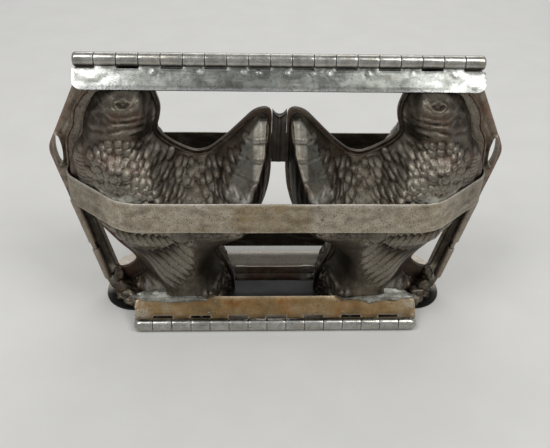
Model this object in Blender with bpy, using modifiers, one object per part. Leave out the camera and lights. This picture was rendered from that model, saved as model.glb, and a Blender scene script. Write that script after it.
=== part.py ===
"""Hinged chocolate mould for two birds, in tinned steel sheet.

Two stamped halves hang together on a long hinge at the top. A shorter hinge at the foot of the
front half carries the base plate that closes the filling mouths under the birds' feet.
The parting plane of the halves is Y = 0, the front faces -Y, and the mould stands on Z = 0.
"""

import math

import bmesh
import bpy
from mathutils import Matrix, Vector
from mathutils.geometry import delaunay_2d_cdt

MM = 0.001

# Fits between neighbours
joint_gap = 0.3 * MM
turn_gap = 0.3 * MM
slot_gap = 1.3 * MM

# Hinges: rolled sheet barrels on a wire pin
barrel_radius = 4.5 * MM
pin_radius = 3.0 * MM
leaf_sheet = 1.2 * MM
leaf_width = 19.4 * MM
leaf_corner = 6.0 * MM
barrel_sides = 12
tip_share = 0.45

top_length = 254.0 * MM
top_knuckles = 19
top_axis_z = 183.3 * MM
top_leaf_tilt = math.radians(45.0)
top_end_round = 2.0 * MM
seam_land = 12.0 * MM

foot_length = 200.0 * MM
foot_knuckles = 15
foot_axis_y = -43.0 * MM
foot_leaf_tilt = math.radians(48.0)
foot_end_round = 5.0 * MM

# Stamped sheet and its frame
half_width = 150.0 * MM
edge_inset = 0.6 * MM
shell_sheet = 1.0 * MM
plate_sheet = 1.0 * MM
shell_sides = 7.8 * MM
wall_rings = (0.9 * MM, 3.2 * MM, 7.0 * MM)
wall_clear = 10.0 * MM
foot_release = 1.6
head_release = 3.0
band_sheet = 1.2 * MM
band_height = 22.0 * MM
band_low_z = 87.0 * MM
band_inset = 1.6 * MM
strap_height = 14.0 * MM
strap_low_z = 5.6 * MM
strap_inset = 26.0 * MM
strap_end_y = 16.0 * MM
strap_bend = 30.0 * MM
strap_slope = math.radians(42.0)
strap_return = 20.0 * MM
strap_slack = 1.2

# Rolled lower side edges and their wire
roll_radius = 2.8 * MM
wire_radius = 1.2 * MM
wire_gap = 0.3 * MM
roll_band_gap = 3.0 * MM
roll_foot_z = 15.0 * MM
notch_top_z = 48.0 * MM
notch_low_z = 41.5 * MM

# Webs between the birds
foot_strip_low_z = 9.3 * MM
front_strip_top_z = 15.5 * MM
rear_strip_top_z = 21.5 * MM

# Base
base_sheet = 1.2 * MM
base_half_width = 125.0 * MM
base_inset = 2.5 * MM
base_corner = 22.0 * MM

# Places that follow from the sizes above
foot_axis_z = barrel_radius
half_depth = barrel_radius - foot_axis_y
sheet_inner = joint_gap / 2
sheet_outer = sheet_inner + shell_sheet
band_end_y = sheet_outer + joint_gap
shell_foot_z = base_sheet + joint_gap
shell_reach = half_depth - band_sheet - joint_gap
flange_top_z = top_axis_z - barrel_radius - joint_gap
barrel_seat = barrel_radius + joint_gap
foot_leaf_top = foot_axis_z + (leaf_width + leaf_sheet) * math.sin(foot_leaf_tilt)
head_leaf_low = top_axis_z - (leaf_width + leaf_sheet) * math.sin(top_leaf_tilt)
roll_top_z = band_low_z - roll_band_gap

# The outlines below are drawn for this width, height and depth, and stretched to the real ones
drawn_width = 150.0
drawn_height = 178.5
drawn_depth = 47.5
across_scale = half_width / drawn_width
height_scale = flange_top_z / drawn_height
depth_scale = half_depth / drawn_depth

# Outline of one bird seen from the front: distance from the middle, and height.
# It starts at the inner side of the feet and runs over the tail, back, head and breast.
body_outline = [
    (32.0, -12.0), (32.5, 8.0), (35.0, 19.0), (39.5, 30.0), (43.5, 41.0), (39.5, 54.5),
    (28.0, 65.5), (16.0, 75.0), (10.2, 90.0), (7.6, 106.0), (6.8, 122.0), (6.8, 138.0),
    (7.8, 146.2), (11.6, 149.4), (16.4, 147.0), (23.0, 140.2), (33.0, 130.0), (43.5, 121.2),
    (50.2, 118.8), (56.6, 118.7), (65.4, 122.2), (74.0, 127.6), (80.0, 134.0), (81.0, 140.0),
    (79.2, 146.5), (78.4, 153.5), (80.4, 161.4), (83.6, 167.6),
    (89.0, 171.6), (98.0, 172.4), (106.0, 169.2), (112.5, 164.0), (118.5, 157.0),
    (123.0, 149.5), (125.6, 141.5), (126.2, 136.0), (128.5, 131.5), (133.0, 126.0), (136.0, 116.0),
    (136.2, 104.0), (133.2, 89.0), (127.2, 74.5), (118.6, 60.5), (109.0, 48.0), (100.5, 38.5),
    (95.5, 31.0), (94.5, 24.0), (98.0, 18.0), (104.5, 13.5), (109.0, 8.0), (110.4, 1.0), (110.6, -12.0),
]

# Seams where the bird's flange meets the side plate, from the top down
upper_seam = [
    (112.0, 176.0), (117.5, 167.0), (125.0, 158.5), (130.5, 149.5), (132.5, 140.0),
    (136.6, 132.0), (138.3, 122.0), (138.6, 106.0), (135.8, 89.0), (130.4, 75.5),
]
lower_seam = [(112.8, 22.3), (114.0, 18.0), (114.2, 10.0), (114.2, -12.0)]

# Edge of the bird's flange, from the inner side of the feet to the head, then along the window
inner_rim = [
    (29.5, -12.0), (30.0, 8.5), (32.4, 20.0), (36.9, 31.2), (40.6, 41.0), (37.3, 52.4),
    (26.3, 63.0), (13.6, 73.2), (7.4, 89.4), (5.0, 105.8), (5.0, 122.0), (5.0, 138.0),
    (5.0, 147.0), (6.2, 151.0), (10.2, 152.4), (17.0, 149.9), (24.3, 142.8), (34.5, 132.4),
    (45.0, 123.6), (50.5, 121.4), (56.0, 121.3), (64.0, 124.6), (72.5, 130.0), (77.6, 135.4),
    (78.4, 139.5), (76.6, 146.0), (75.9, 153.5), (78.0, 162.0), (80.8, 170.0), (84.5, 175.8),
    (88.0, 178.2), (104.0, 178.2),
]
window_rim = [
    (121.8, 59.0), (112.4, 46.4), (104.6, 37.6), (101.2, 31.8), (103.6, 27.0), (108.4, 23.4),
]

# Ridge of the tail and back; below it the back falls away evenly, up to the nape of the neck
back_line = [
    (11.6, 149.4), (16.4, 147.0), (23.0, 140.2), (33.0, 130.0), (43.5, 121.2), (50.2, 118.8),
    (56.6, 118.7), (65.4, 122.2), (74.0, 127.6), (80.0, 134.0), (95.0, 160.0),
]
back_slope = 1.28
nape_start = 60.0
nape_blend = 12.0
nape_swell = 0.5
nape_height = 128.0
nape_rise = 3.0

# Swellings of the bird: middle (across, height), spread (across, height), depth, edge radius,
# and how bluntly the form rises from its edge
body_forms = [
    (98.0, 99.0, 30.0, 26.0, 46.4, 40.0, 0.5),
    (58.0, 98.0, 22.0, 24.0, 45.0, 24.0, 0.5),
    (25.0, 106.0, 14.0, 24.0, 47.0, 17.0, 0.5),
    (14.0, 138.0, 10.0, 11.0, 36.0, 10.0, 0.5),
    (124.0, 72.0, 16.0, 14.0, 40.0, 46.0, 0.75),
    (92.0, 56.0, 18.0, 13.0, 40.0, 42.0, 0.75),
    (62.0, 58.0, 18.0, 16.0, 40.0, 20.0, 0.5),
    (66.0, 38.0, 13.0, 9.0, 37.0, 20.0, 0.5),
    (91.0, 31.0, 10.0, 9.0, 20.0, 16.0, 0.6),
    (58.0, 6.0, 24.0, 10.0, 46.4, 24.0, 0.5),
    (102.0, 9.0, 13.0, 13.0, 12.0, 16.0, 0.6),
    (94.0, 159.0, 13.0, 12.0, 26.0, 15.0, 0.5),
    (97.0, 141.0, 15.0, 8.0, 29.0, 20.0, 0.5),
    (118.0, 150.0, 9.0, 10.0, 15.0, 14.0, 0.6),
]

# Outer edge of a side plate below the top hinge: distance from the middle, height, corner radius
side_edge = [(150.0, 121.0, 16.0), (125.2, 14.0, 5.0)]
side_foot = (121.0, 4.0)
rail_width = {"front": 10.0, "rear": 12.5}
side_hole = (143.6, 123.0, 2.7, 12.5)
tail_web = (5.0, 112.6, 147.0)


def edge_at(height):
    """Distance of the side plate's lower outer edge from the middle, at a height."""
    (high_x, high_z, _), (low_x, low_z, _) = side_edge
    across = low_x + (high_x - low_x) * (height / height_scale - low_z) / (high_z - low_z)
    return across * across_scale


band_half_width = edge_at(band_low_z) - band_inset
strap_half_width = edge_at(strap_low_z) - strap_inset


def clear_scene():
    for item in list(bpy.data.objects):
        bpy.data.objects.remove(item, do_unlink=True)


def make_collection(name):
    group = bpy.data.collections.new(name)
    bpy.context.scene.collection.children.link(group)
    return group


def make_material(name, colour, roughness, metallic=1.0):
    material = bpy.data.materials.new(name)
    material.use_nodes = True
    shader = material.node_tree.nodes["Principled BSDF"]
    shader.inputs["Base Color"].default_value = (*colour, 1.0)
    shader.inputs["Roughness"].default_value = roughness
    shader.inputs["Metallic"].default_value = metallic
    material.diffuse_color = (*colour, 1.0)
    return material


def add_object(name, mesh, group, material=None):
    item = bpy.data.objects.new(name, mesh)
    group.objects.link(item)
    if material:
        mesh.materials.clear()
        mesh.materials.append(material)
    return item


def add_cutter(name, mesh, cutters):
    item = add_object(name, mesh, cutters)
    item.hide_render = True
    item.display_type = "WIRE"
    return item


def add_boolean(item, other, operation, solver="EXACT"):
    step = item.modifiers.new(operation.title(), "BOOLEAN")
    step.operation = operation
    step.solver = solver
    step.object = other
    return step


def box_mesh(name, low, high):
    """Box between two opposite corners."""
    shape = bmesh.new()
    bmesh.ops.create_cube(shape, size=1.0)
    size = Vector(high) - Vector(low)
    middle = (Vector(high) + Vector(low)) / 2
    bmesh.ops.scale(shape, vec=size, verts=shape.verts)
    bmesh.ops.translate(shape, vec=middle, verts=shape.verts)
    mesh = bpy.data.meshes.new(name)
    shape.to_mesh(mesh)
    shape.free()
    return mesh


def smooth_curve(points, spacing):
    """Points at an even spacing on a Catmull-Rom curve through the given ones."""
    ends = [points[0], *points, points[-1]]
    fine = []
    for before, start, end, after in zip(ends, ends[1:], ends[2:], ends[3:]):
        for step in range(12):
            t = step / 12
            fine.append(tuple(
                0.5 * (2 * b + (c - a) * t + (2 * a - 5 * b + 4 * c - d) * t * t
                       + (3 * b - a - 3 * c + d) * t ** 3)
                for a, b, c, d in zip(before, start, end, after)
            ))
    fine.append(points[-1])
    length = [0.0]
    for one, two in zip(fine, fine[1:]):
        length.append(length[-1] + math.dist(one, two))
    count = max(2, round(length[-1] / spacing))
    even = []
    place = 0
    for step in range(count + 1):
        goal = length[-1] * step / count
        while place < len(fine) - 2 and length[place + 1] < goal:
            place += 1
        share = (goal - length[place]) / (length[place + 1] - length[place])
        even.append(tuple(a + (b - a) * share for a, b in zip(fine[place], fine[place + 1])))
    return even


def rounded_outline(corners, steps=5):
    """Closed outline whose corners (x, y, radius) are replaced by arcs."""
    outline = []
    count = len(corners)
    for index, (x, y, radius) in enumerate(corners):
        here = Vector((x, y))
        back = (Vector(corners[index - 1][:2]) - here).normalized()
        ahead = (Vector(corners[(index + 1) % count][:2]) - here).normalized()
        half = back.angle(ahead) / 2
        if radius <= 0.0 or half > math.radians(88.0):
            outline.append((x, y))
            continue
        reach = radius / math.tan(half)
        middle = here + (back + ahead).normalized() * (radius / math.sin(half))
        first = here + back * reach - middle
        last = here + ahead * reach - middle
        sweep = first.angle_signed(last)
        for step in range(steps + 1):
            turned = Matrix.Rotation(-sweep * step / steps, 2) @ first
            outline.append(tuple(middle + turned))
    return outline


def stretched(points):
    """Drawn points (across, height, anything) in real sizes."""
    return [(x * across_scale, z * height_scale, *rest) for x, z, *rest in points]


def flat_mesh(name, loops, thickness):
    """Sheet cut to closed outlines: the first is the edge, any others are holes."""
    curve = bpy.data.curves.new(name, "CURVE")
    curve.dimensions = "2D"
    curve.fill_mode = "BOTH"
    curve.extrude = thickness / 2
    for loop in loops:
        spline = curve.splines.new("POLY")
        spline.points.add(len(loop) - 1)
        for point, (x, y) in zip(spline.points, loop):
            point.co = (x, y, 0.0, 1.0)
        spline.use_cyclic_u = True
    holder = bpy.data.objects.new(name, curve)
    bpy.context.scene.collection.objects.link(holder)
    graph = bpy.context.evaluated_depsgraph_get()
    mesh = bpy.data.meshes.new_from_object(holder.evaluated_get(graph))
    bpy.data.objects.remove(holder, do_unlink=True)
    shape = bmesh.new()
    shape.from_mesh(mesh)
    bmesh.ops.remove_doubles(shape, verts=shape.verts, dist=0.01 * MM)
    bmesh.ops.recalc_face_normals(shape, faces=shape.faces)
    shape.to_mesh(mesh)
    shape.free()
    mesh.name = name
    return mesh


def rod_mesh(name, spans, radius, sides, tips=(0.0, 0.0)):
    """Rods turned about X over each span; the outermost ends may taper over a tip length."""
    shape = bmesh.new()
    for index, (start, end) in enumerate(spans):
        left = tips[0] if index == 0 else 0.0
        right = tips[1] if index == len(spans) - 1 else 0.0
        profile = [(start, 0.0)]
        profile += [(start, radius * tip_share), (start + left, radius)] if left else [(start, radius)]
        profile += [(end - right, radius), (end, radius * tip_share)] if right else [(end, radius)]
        profile.append((end, 0.0))
        verts = [shape.verts.new((x, 0.0, -r)) for x, r in profile]
        edges = [shape.edges.new(pair) for pair in zip(verts, verts[1:])]
        bmesh.ops.spin(
            shape, geom=verts + edges, cent=(0.0, 0.0, 0.0), axis=(1.0, 0.0, 0.0),
            angle=math.tau, steps=sides, use_merge=True,
        )
    bmesh.ops.remove_doubles(shape, verts=shape.verts, dist=0.01 * MM)
    bmesh.ops.recalc_face_normals(shape, faces=shape.faces)
    mesh = bpy.data.meshes.new(name)
    shape.to_mesh(mesh)
    shape.free()
    return mesh


def knuckle_spans(length, count, odd):
    """Start and end of every second knuckle, counted from the left end."""
    pitch = length / count
    return [
        (-length / 2 + index * pitch + turn_gap / 2, -length / 2 + (index + 1) * pitch - turn_gap / 2)
        for index in range(count) if (index % 2 == 0) == odd
    ]


def leaf_outline(length, count, odd):
    """Comb outline of a hinge leaf: X along the pin, Y away from it."""
    pitch = length / count
    slot = barrel_radius + slot_gap
    tooth_root = leaf_sheet / 2
    points = []
    for index in range(count):
        low = -length / 2 + index * pitch
        high = low + pitch
        if (index % 2 == 0) == odd:
            points += [(low + turn_gap, tooth_root), (high - turn_gap, tooth_root)]
        else:
            left = low + turn_gap / 2 if index == 0 else low - turn_gap / 2
            right = high - turn_gap / 2 if index == count - 1 else high + turn_gap / 2
            points += [(left, slot), (right, slot)]
    far = [(length / 2 - turn_gap / 2, leaf_width, leaf_corner),
           (-length / 2 + turn_gap / 2, leaf_width, leaf_corner)]
    corners = [(x, y, 0.0) for x, y in points] + far
    return rounded_outline(corners)


def make_leaf(name, length, count, odd, offset, tips, place, turn, groups, material):
    """Hinge leaf with its rolled knuckles; its origin lies on the pin's axis."""
    parts, cutters = groups
    sheet = flat_mesh(name, [leaf_outline(length, count, odd)], leaf_sheet)
    sheet.transform(Matrix.Translation((0.0, 0.0, offset)))
    leaf = add_object(name, sheet, parts, material)
    spans = knuckle_spans(length, count, odd)
    ends = tips if odd else (0.0, 0.0)
    knuckles = add_cutter(name + "_knuckles", rod_mesh(name, spans, barrel_radius, barrel_sides, ends), cutters)
    closed = max(tips) * 0.6 if odd else -turn_gap
    bore_span = [(-length / 2 + closed, length / 2 - closed)]
    bore = add_cutter(
        name + "_bore", rod_mesh(name, bore_span, pin_radius + turn_gap, barrel_sides), cutters
    )
    for item in (leaf, knuckles, bore):
        item.matrix_world = Matrix.Translation(place) @ turn
    add_boolean(leaf, knuckles, "UNION", "MANIFOLD")
    add_boolean(leaf, bore, "DIFFERENCE", "MANIFOLD")
    return leaf


def make_pin(name, length, tips, place, parts, material):
    """Wire pin held captive by the crimped end knuckles."""
    reach = length / 2 - max(tips) * 0.6 - turn_gap
    pin = add_object(name, rod_mesh(name, [(-reach, reach)], pin_radius, barrel_sides), parts, material)
    pin.location = place
    return pin


def edge_distance(point, line):
    """Distance from a point to a polyline."""
    best = 1e9
    px, py = point
    for (ax, ay), (bx, by) in zip(line, line[1:]):
        dx, dy = bx - ax, by - ay
        share = ((px - ax) * dx + (py - ay) * dy) / (dx * dx + dy * dy)
        share = min(1.0, max(0.0, share))
        best = min(best, math.hypot(px - ax - dx * share, py - ay - dy * share))
    return best


def inside(point, loop):
    """True for a point inside a closed loop."""
    px, py = point
    crossed = False
    for (ax, ay), (bx, by) in zip(loop, loop[1:] + loop[:1]):
        if (ay > py) != (by > py) and px < ax + (bx - ax) * (py - ay) / (by - ay):
            crossed = not crossed
    return crossed


def strap_path(half_width, depth, end):
    """Half of a strap's outer line in plan, from the middle of its front to its side end."""
    slope_run = depth - end - strap_bend * (1 - math.cos(strap_slope))
    slope_run -= strap_return * math.cos(strap_slope)
    run = slope_run / math.sin(strap_slope)
    across = strap_bend * math.sin(strap_slope) + run * math.cos(strap_slope)
    across += strap_return * (1 - math.sin(strap_slope))
    corner = half_width - across
    path = [(0.0, depth)]
    for step in range(5):
        angle = strap_slope * step / 4
        path.append((corner + strap_bend * math.sin(angle), depth - strap_bend * (1 - math.cos(angle))))
    middle = (half_width - strap_return, end)
    for step in range(5):
        angle = strap_slope + (math.pi / 2 - strap_slope) * step / 4
        path.append((middle[0] + strap_return * math.sin(angle), middle[1] + strap_return * math.cos(angle)))
    return path


def strap_limit(across, half_width, end):
    """Depth that a shell may have behind a strap at a distance from the middle."""
    path = strap_path(half_width, half_depth, end)
    corner = path[1][0]
    if across <= corner:
        return shell_reach
    for (ax, ay), (bx, by) in zip(path, path[1:]):
        if ax <= across <= bx and bx > ax:
            line = ay + (by - ay) * (across - ax) / (bx - ax)
            slack = min(1.0, (across - corner) / strap_bend)
            return line - (band_sheet + joint_gap) * (1.0 + strap_slack * slack)
    return end - joint_gap - 2 * band_sheet


def back_fall(across, height):
    """How far a place lies below the ridge of the tail and back; more as the nape swells."""
    nape = min(1.0, max(0.0, (across / across_scale - nape_start) / nape_blend))
    swell = (across / across_scale - nape_start) * nape_swell
    swell += max(0.0, height / height_scale - nape_height) * nape_rise
    ridge = stretched(back_line)
    top = ridge[0][1] if across <= ridge[0][0] else ridge[-1][1]
    for (ax, az), (bx, bz) in zip(ridge, ridge[1:]):
        if ax < across <= bx:
            top = az + (bz - az) * (across - ax) / (bx - ax)
    return top - height + nape * swell


def relief(across, height, outline, front):
    """How far a bird stands out of its flange at a place inside its outline."""
    total = depth = edge = blunt = 0.0
    for middle, level, wide, tall, deep, radius, root in body_forms:
        aside = (across / across_scale - middle) / wide
        above = (height / height_scale - level) / tall
        weight = math.exp(-aside ** 2 - above ** 2) + 1e-9
        total += weight
        depth += weight * deep
        edge += weight * radius
        blunt += weight * root
    depth *= depth_scale / total
    edge *= depth_scale / total
    near = min(1.0, edge_distance((across, height), outline) / edge)
    raised = (depth - sheet_outer) * max(0.0, 1.0 - (1.0 - near) ** 2.2) ** (blunt / total)
    raised = min(raised, back_fall(across, height) * back_slope)
    limit = min(strap_limit(across, band_half_width, band_end_y), leaf_limit(height, front))
    if not front and height < strap_low_z + strap_height + shell_sides:
        limit = min(limit, strap_limit(across, strap_half_width, strap_end_y))
    return max(0.0, min(raised, limit - sheet_outer))


def leaf_limit(height, front):
    """Depth that a shell may have under the leaf on its head, and in front the one on its feet."""
    seat = (leaf_sheet / 2 + joint_gap) / math.sin(foot_leaf_tilt)
    under = min(height, foot_leaf_top)
    foot_plane = -foot_axis_y - (under - foot_axis_z) / math.tan(foot_leaf_tilt) - seat
    foot_plane = min(foot_plane, -foot_axis_y - barrel_seat - 0.2 * MM)
    foot_plane += (height - under) * foot_release
    seat = (leaf_sheet / 2 + joint_gap) / math.cos(top_leaf_tilt)
    above = max(height, head_leaf_low)
    head_plane = (top_axis_z - above) / math.tan(top_leaf_tilt) - seat
    head_plane += (above - height) * head_release
    return min(foot_plane, head_plane) if front else head_plane


def bird_rim():
    """Closed edge of a bird's flange, sharing its seams with the side plate."""
    points = smooth_curve(stretched(inner_rim), shell_sides) + stretched(upper_seam)
    points += smooth_curve(stretched(window_rim), shell_sides) + stretched(lower_seam)
    return points


def bird_mesh(name, front):
    """Open outer surface of one half of the right bird with its flange, as seen from the front."""
    outline = smooth_curve(stretched(body_outline), shell_sides)
    rim = bird_rim()
    points = list(rim) + list(outline)
    edges = [(i, (i + 1) % len(rim)) for i in range(len(rim))]
    edges += [(len(rim) + i, len(rim) + i + 1) for i in range(len(outline) - 1)]
    loop = outline
    for inset in wall_rings:
        for before, here, after in zip(loop, loop[1:], loop[2:]):
            along = Vector((after[0] - before[0], after[1] - before[1])).normalized()
            spot = (here[0] + along.y * inset, here[1] - along.x * inset)
            if inside(spot, loop) and edge_distance(spot, outline) > inset * 0.93:
                points.append(spot)
    seats = (foot_leaf_top, head_leaf_low)
    rows = [(-1.0 * MM + step * shell_sides * 0.87, step % 2) for step in range(40)]
    rows = [row for row in rows if min(abs(row[0] - seat) for seat in seats) > 0.35 * shell_sides]
    rows += [(seat, 0) for seat in seats]
    for height, odd in rows:
        across = 6.0 * MM + odd * shell_sides / 2
        while across < band_half_width:
            spot = (across, height)
            least = 2.0 * MM if height in seats else wall_clear
            if inside(spot, loop) and edge_distance(spot, outline) > least:
                points.append(spot)
            across += shell_sides / 2 if height in seats else shell_sides
    flat, _, faces, _, _, _ = delaunay_2d_cdt([Vector(p) for p in points], edges, [], 0, 1e-6)
    shape = bmesh.new()
    verts = []
    for spot in flat:
        raised = relief(spot.x, spot.y, outline, front) if inside(tuple(spot), loop) else 0.0
        verts.append(shape.verts.new((spot.x, -sheet_outer - raised, spot.y)))
    for face in faces:
        middle = sum((flat[i] for i in face), Vector((0.0, 0.0))) / len(face)
        if inside(tuple(middle), rim):
            shape.faces.new([verts[i] for i in face])
    loose = [vert for vert in shape.verts if not vert.link_faces]
    bmesh.ops.delete(shape, geom=loose, context="VERTS")
    for face in shape.faces:
        face.normal_update()
        if face.normal.y > 0.0:
            face.normal_flip()
    mesh = bpy.data.meshes.new(name)
    shape.to_mesh(mesh)
    shape.free()
    mesh.shade_smooth()
    return mesh


def mirrored(mesh, name, side, front):
    """Copy of a right front mesh for another side or half."""
    copy = mesh.copy()
    copy.name = name
    copy.transform(Matrix.Diagonal((side, 1.0 if front else -1.0, 1.0, 1.0)))
    if (side < 0) == front:
        copy.flip_normals()
    return copy


def make_shells(half, front, groups, trim, material, mesh):
    """The two bird shells of one half, open at the parting plane and under the feet."""
    parts, _ = groups
    shells = []
    for side_name, side in (("left", -1), ("right", 1)):
        name = f"{half}_shell_{side_name}"
        shell = add_object(name, mirrored(mesh, name, side, front), parts, material)
        sheet = shell.modifiers.new("Sheet", "SOLIDIFY")
        sheet.thickness = shell_sheet
        sheet.offset = -1.0
        sheet.use_even_offset = True
        sheet.use_quality_normals = True
        sheet.thickness_clamp = 1.5
        add_boolean(shell, trim, "DIFFERENCE")
        shells.append(shell)
    return shells


def side_outline(half):
    """Outline of the right side plate."""
    edge = stretched(side_edge)
    upper = [(x + 1.6 * joint_gap, z) for x, z in reversed(stretched(upper_seam))]
    lower = [(x + 1.2 * joint_gap, z) for x, z in reversed(stretched(lower_seam))]
    top_x = max(top_length / 2 - edge_inset, upper[-1][0] + seam_land)
    corners = [(upper[-1][0], flange_top_z, 0.0), (top_x, flange_top_z, 1.5 * MM)]
    corners.append((top_x + 2 * edge_inset, top_axis_z - leaf_width * math.sin(top_leaf_tilt), 12.0 * MM))
    corners += [(x, z, radius * MM) for x, z, radius in edge]
    foot_x, foot_radius = side_foot
    corners.append((foot_x * across_scale, shell_foot_z, foot_radius * MM))
    corners.append((lower[0][0], shell_foot_z, 0.0))
    corners += [(x, z, 0.0) for x, z in lower[1:]]
    slope = (edge[0][0] - edge[1][0]) / (edge[0][1] - edge[1][1])
    rail = rail_width[half] * MM * math.hypot(1.0, slope)
    low_z = lower[-1][1] + 0.8 * MM
    corners.append((edge_at(low_z) - rail, low_z, 4.0 * MM))
    start_x, start_z = upper[0]
    (seam_x, seam_z), (rim_x, rim_z) = stretched([upper_seam[-1], window_rim[0]])
    rim_slope = (seam_x - rim_x) / (seam_z - rim_z)
    fall = max(0.5 * MM, (start_x + 0.3 * joint_gap - edge_at(start_z) + rail) / (rim_slope - slope))
    corners.append((edge_at(start_z) - rail - slope * fall, start_z - fall, 0.0))
    corners += [(x, z, 0.0) for x, z in upper[:-1]]
    return rounded_outline(corners)


def oval(across, height, half_across, half_height, steps=20):
    """Oval hole."""
    return stretched([
        (across + half_across * math.cos(math.tau * i / steps),
         height + half_height * math.sin(math.tau * i / steps))
        for i in range(steps)
    ])


def edge_place(height):
    """Point on the axis of the rolled side edge, right side, at a height."""
    return Vector((edge_at(height) - roll_radius, -sheet_inner - roll_radius - 0.1 * MM, height))


def slanted(mesh, side):
    """Turn a rod along X onto the line of a rolled side edge."""
    low, high = edge_place(roll_foot_z), edge_place(roll_top_z)
    along = (high - low).normalized()
    turn = Vector((1.0, 0.0, 0.0)).rotation_difference(along).to_matrix().to_4x4()
    mesh.transform(Matrix.Translation(low) @ turn)
    mesh.transform(Matrix.Diagonal((side, 1.0, 1.0, 1.0)))
    if side < 0:
        mesh.flip_normals()
    return mesh


def make_side_plates(half, front, groups, material, wire_material):
    """Side plates; the front ones have rolled edges round a wire, with a notch in the roll."""
    parts, cutters = groups
    loops = [side_outline(half), oval(*side_hole)]
    flat = flat_mesh(half + "_side", loops, plate_sheet)
    flat.transform(Matrix.Rotation(math.pi / 2, 4, "X"))
    flat.transform(Matrix.Translation((0.0, -sheet_inner - plate_sheet / 2, 0.0)))
    run = (edge_place(roll_top_z) - edge_place(roll_foot_z)).length
    per_height = run / (roll_top_z - roll_foot_z)
    low_notch = (notch_low_z - roll_foot_z) * per_height
    high_notch = (notch_top_z - roll_foot_z) * per_height
    rolls = [(0.0, low_notch), (high_notch, run)]
    for side_name, side in (("left", -1), ("right", 1)):
        name = f"{half}_side_plate_{side_name}"
        plate = add_object(name, mirrored(flat, name, side, front), parts, material)
        if not front:
            continue
        roll = slanted(rod_mesh(name + "_roll", rolls, roll_radius, 12), side)
        bore_span = [(-0.01, run + 0.01)]
        bore = slanted(rod_mesh(name + "_bore", bore_span, wire_radius + wire_gap, 10), side)
        add_boolean(plate, add_cutter(roll.name, roll, cutters), "UNION")
        add_boolean(plate, add_cutter(bore.name, bore, cutters), "DIFFERENCE")
        wire_name = f"{half}_edge_wire_{side_name}"
        wire = slanted(rod_mesh(wire_name, [(0.5 * MM, run - 0.5 * MM)], wire_radius, 10), side)
        add_object(wire_name, wire, parts, wire_material)


def make_strap(name, front, half_width, end, low_z, height, parts, material):
    """Strap on edge, bent round one half with its ends turned towards the parting plane."""
    path = strap_path(half_width, half_depth, end)
    line = [(-x, -y) for x, y in reversed(path)] + [(x, -y) for x, y in path[1:]]
    shape = bmesh.new()
    low = [shape.verts.new((x, y, low_z)) for x, y in line]
    high = [shape.verts.new((x, y, low_z + height)) for x, y in line]
    for index in range(len(line) - 1):
        shape.faces.new((low[index], low[index + 1], high[index + 1], high[index]))
    mesh = bpy.data.meshes.new(name)
    shape.to_mesh(mesh)
    shape.free()
    strap = add_object(name, mirrored(mesh, name, 1, front), parts, material)
    sheet = strap.modifiers.new("Sheet", "SOLIDIFY")
    sheet.thickness = band_sheet
    sheet.offset = -1.0
    sheet.use_even_offset = True
    return strap


def make_web(name, front, half_width, low_z, high_z, corner, parts, material):
    """Flat web in the sheet plane of one half, across the middle."""
    edge = [(-half_width, low_z, 0.0), (half_width, low_z, 0.0),
            (half_width, high_z, corner), (-half_width, high_z, corner)]
    web = flat_mesh(name, [rounded_outline(edge)], plate_sheet)
    web.transform(Matrix.Rotation(math.pi / 2, 4, "X"))
    web.transform(Matrix.Translation((0.0, -sheet_inner - plate_sheet / 2, 0.0)))
    return add_object(name, mirrored(web, name, 1, front), parts, material)


def make_base(groups, material, leaf_material):
    """Base plate and the leaf that hinges it to the front half."""
    parts, _ = groups
    front_y = foot_axis_y + leaf_width + joint_gap
    rear_y = half_depth - base_inset
    edge = [(-base_half_width, front_y, base_corner), (base_half_width, front_y, base_corner),
            (base_half_width, rear_y, base_corner), (-base_half_width, rear_y, base_corner)]
    sheet = flat_mesh("base_plate", [rounded_outline(edge, 8)], base_sheet)
    sheet.transform(Matrix.Translation((0.0, 0.0, base_sheet / 2)))
    add_object("base_plate", sheet, parts, material)
    drop = -(barrel_radius - leaf_sheet / 2) + 0.05 * MM
    make_leaf("base_leaf", foot_length, foot_knuckles, False, drop, (foot_end_round, foot_end_round),
              (0.0, foot_axis_y, foot_axis_z), Matrix.Identity(4), groups, leaf_material)


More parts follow.
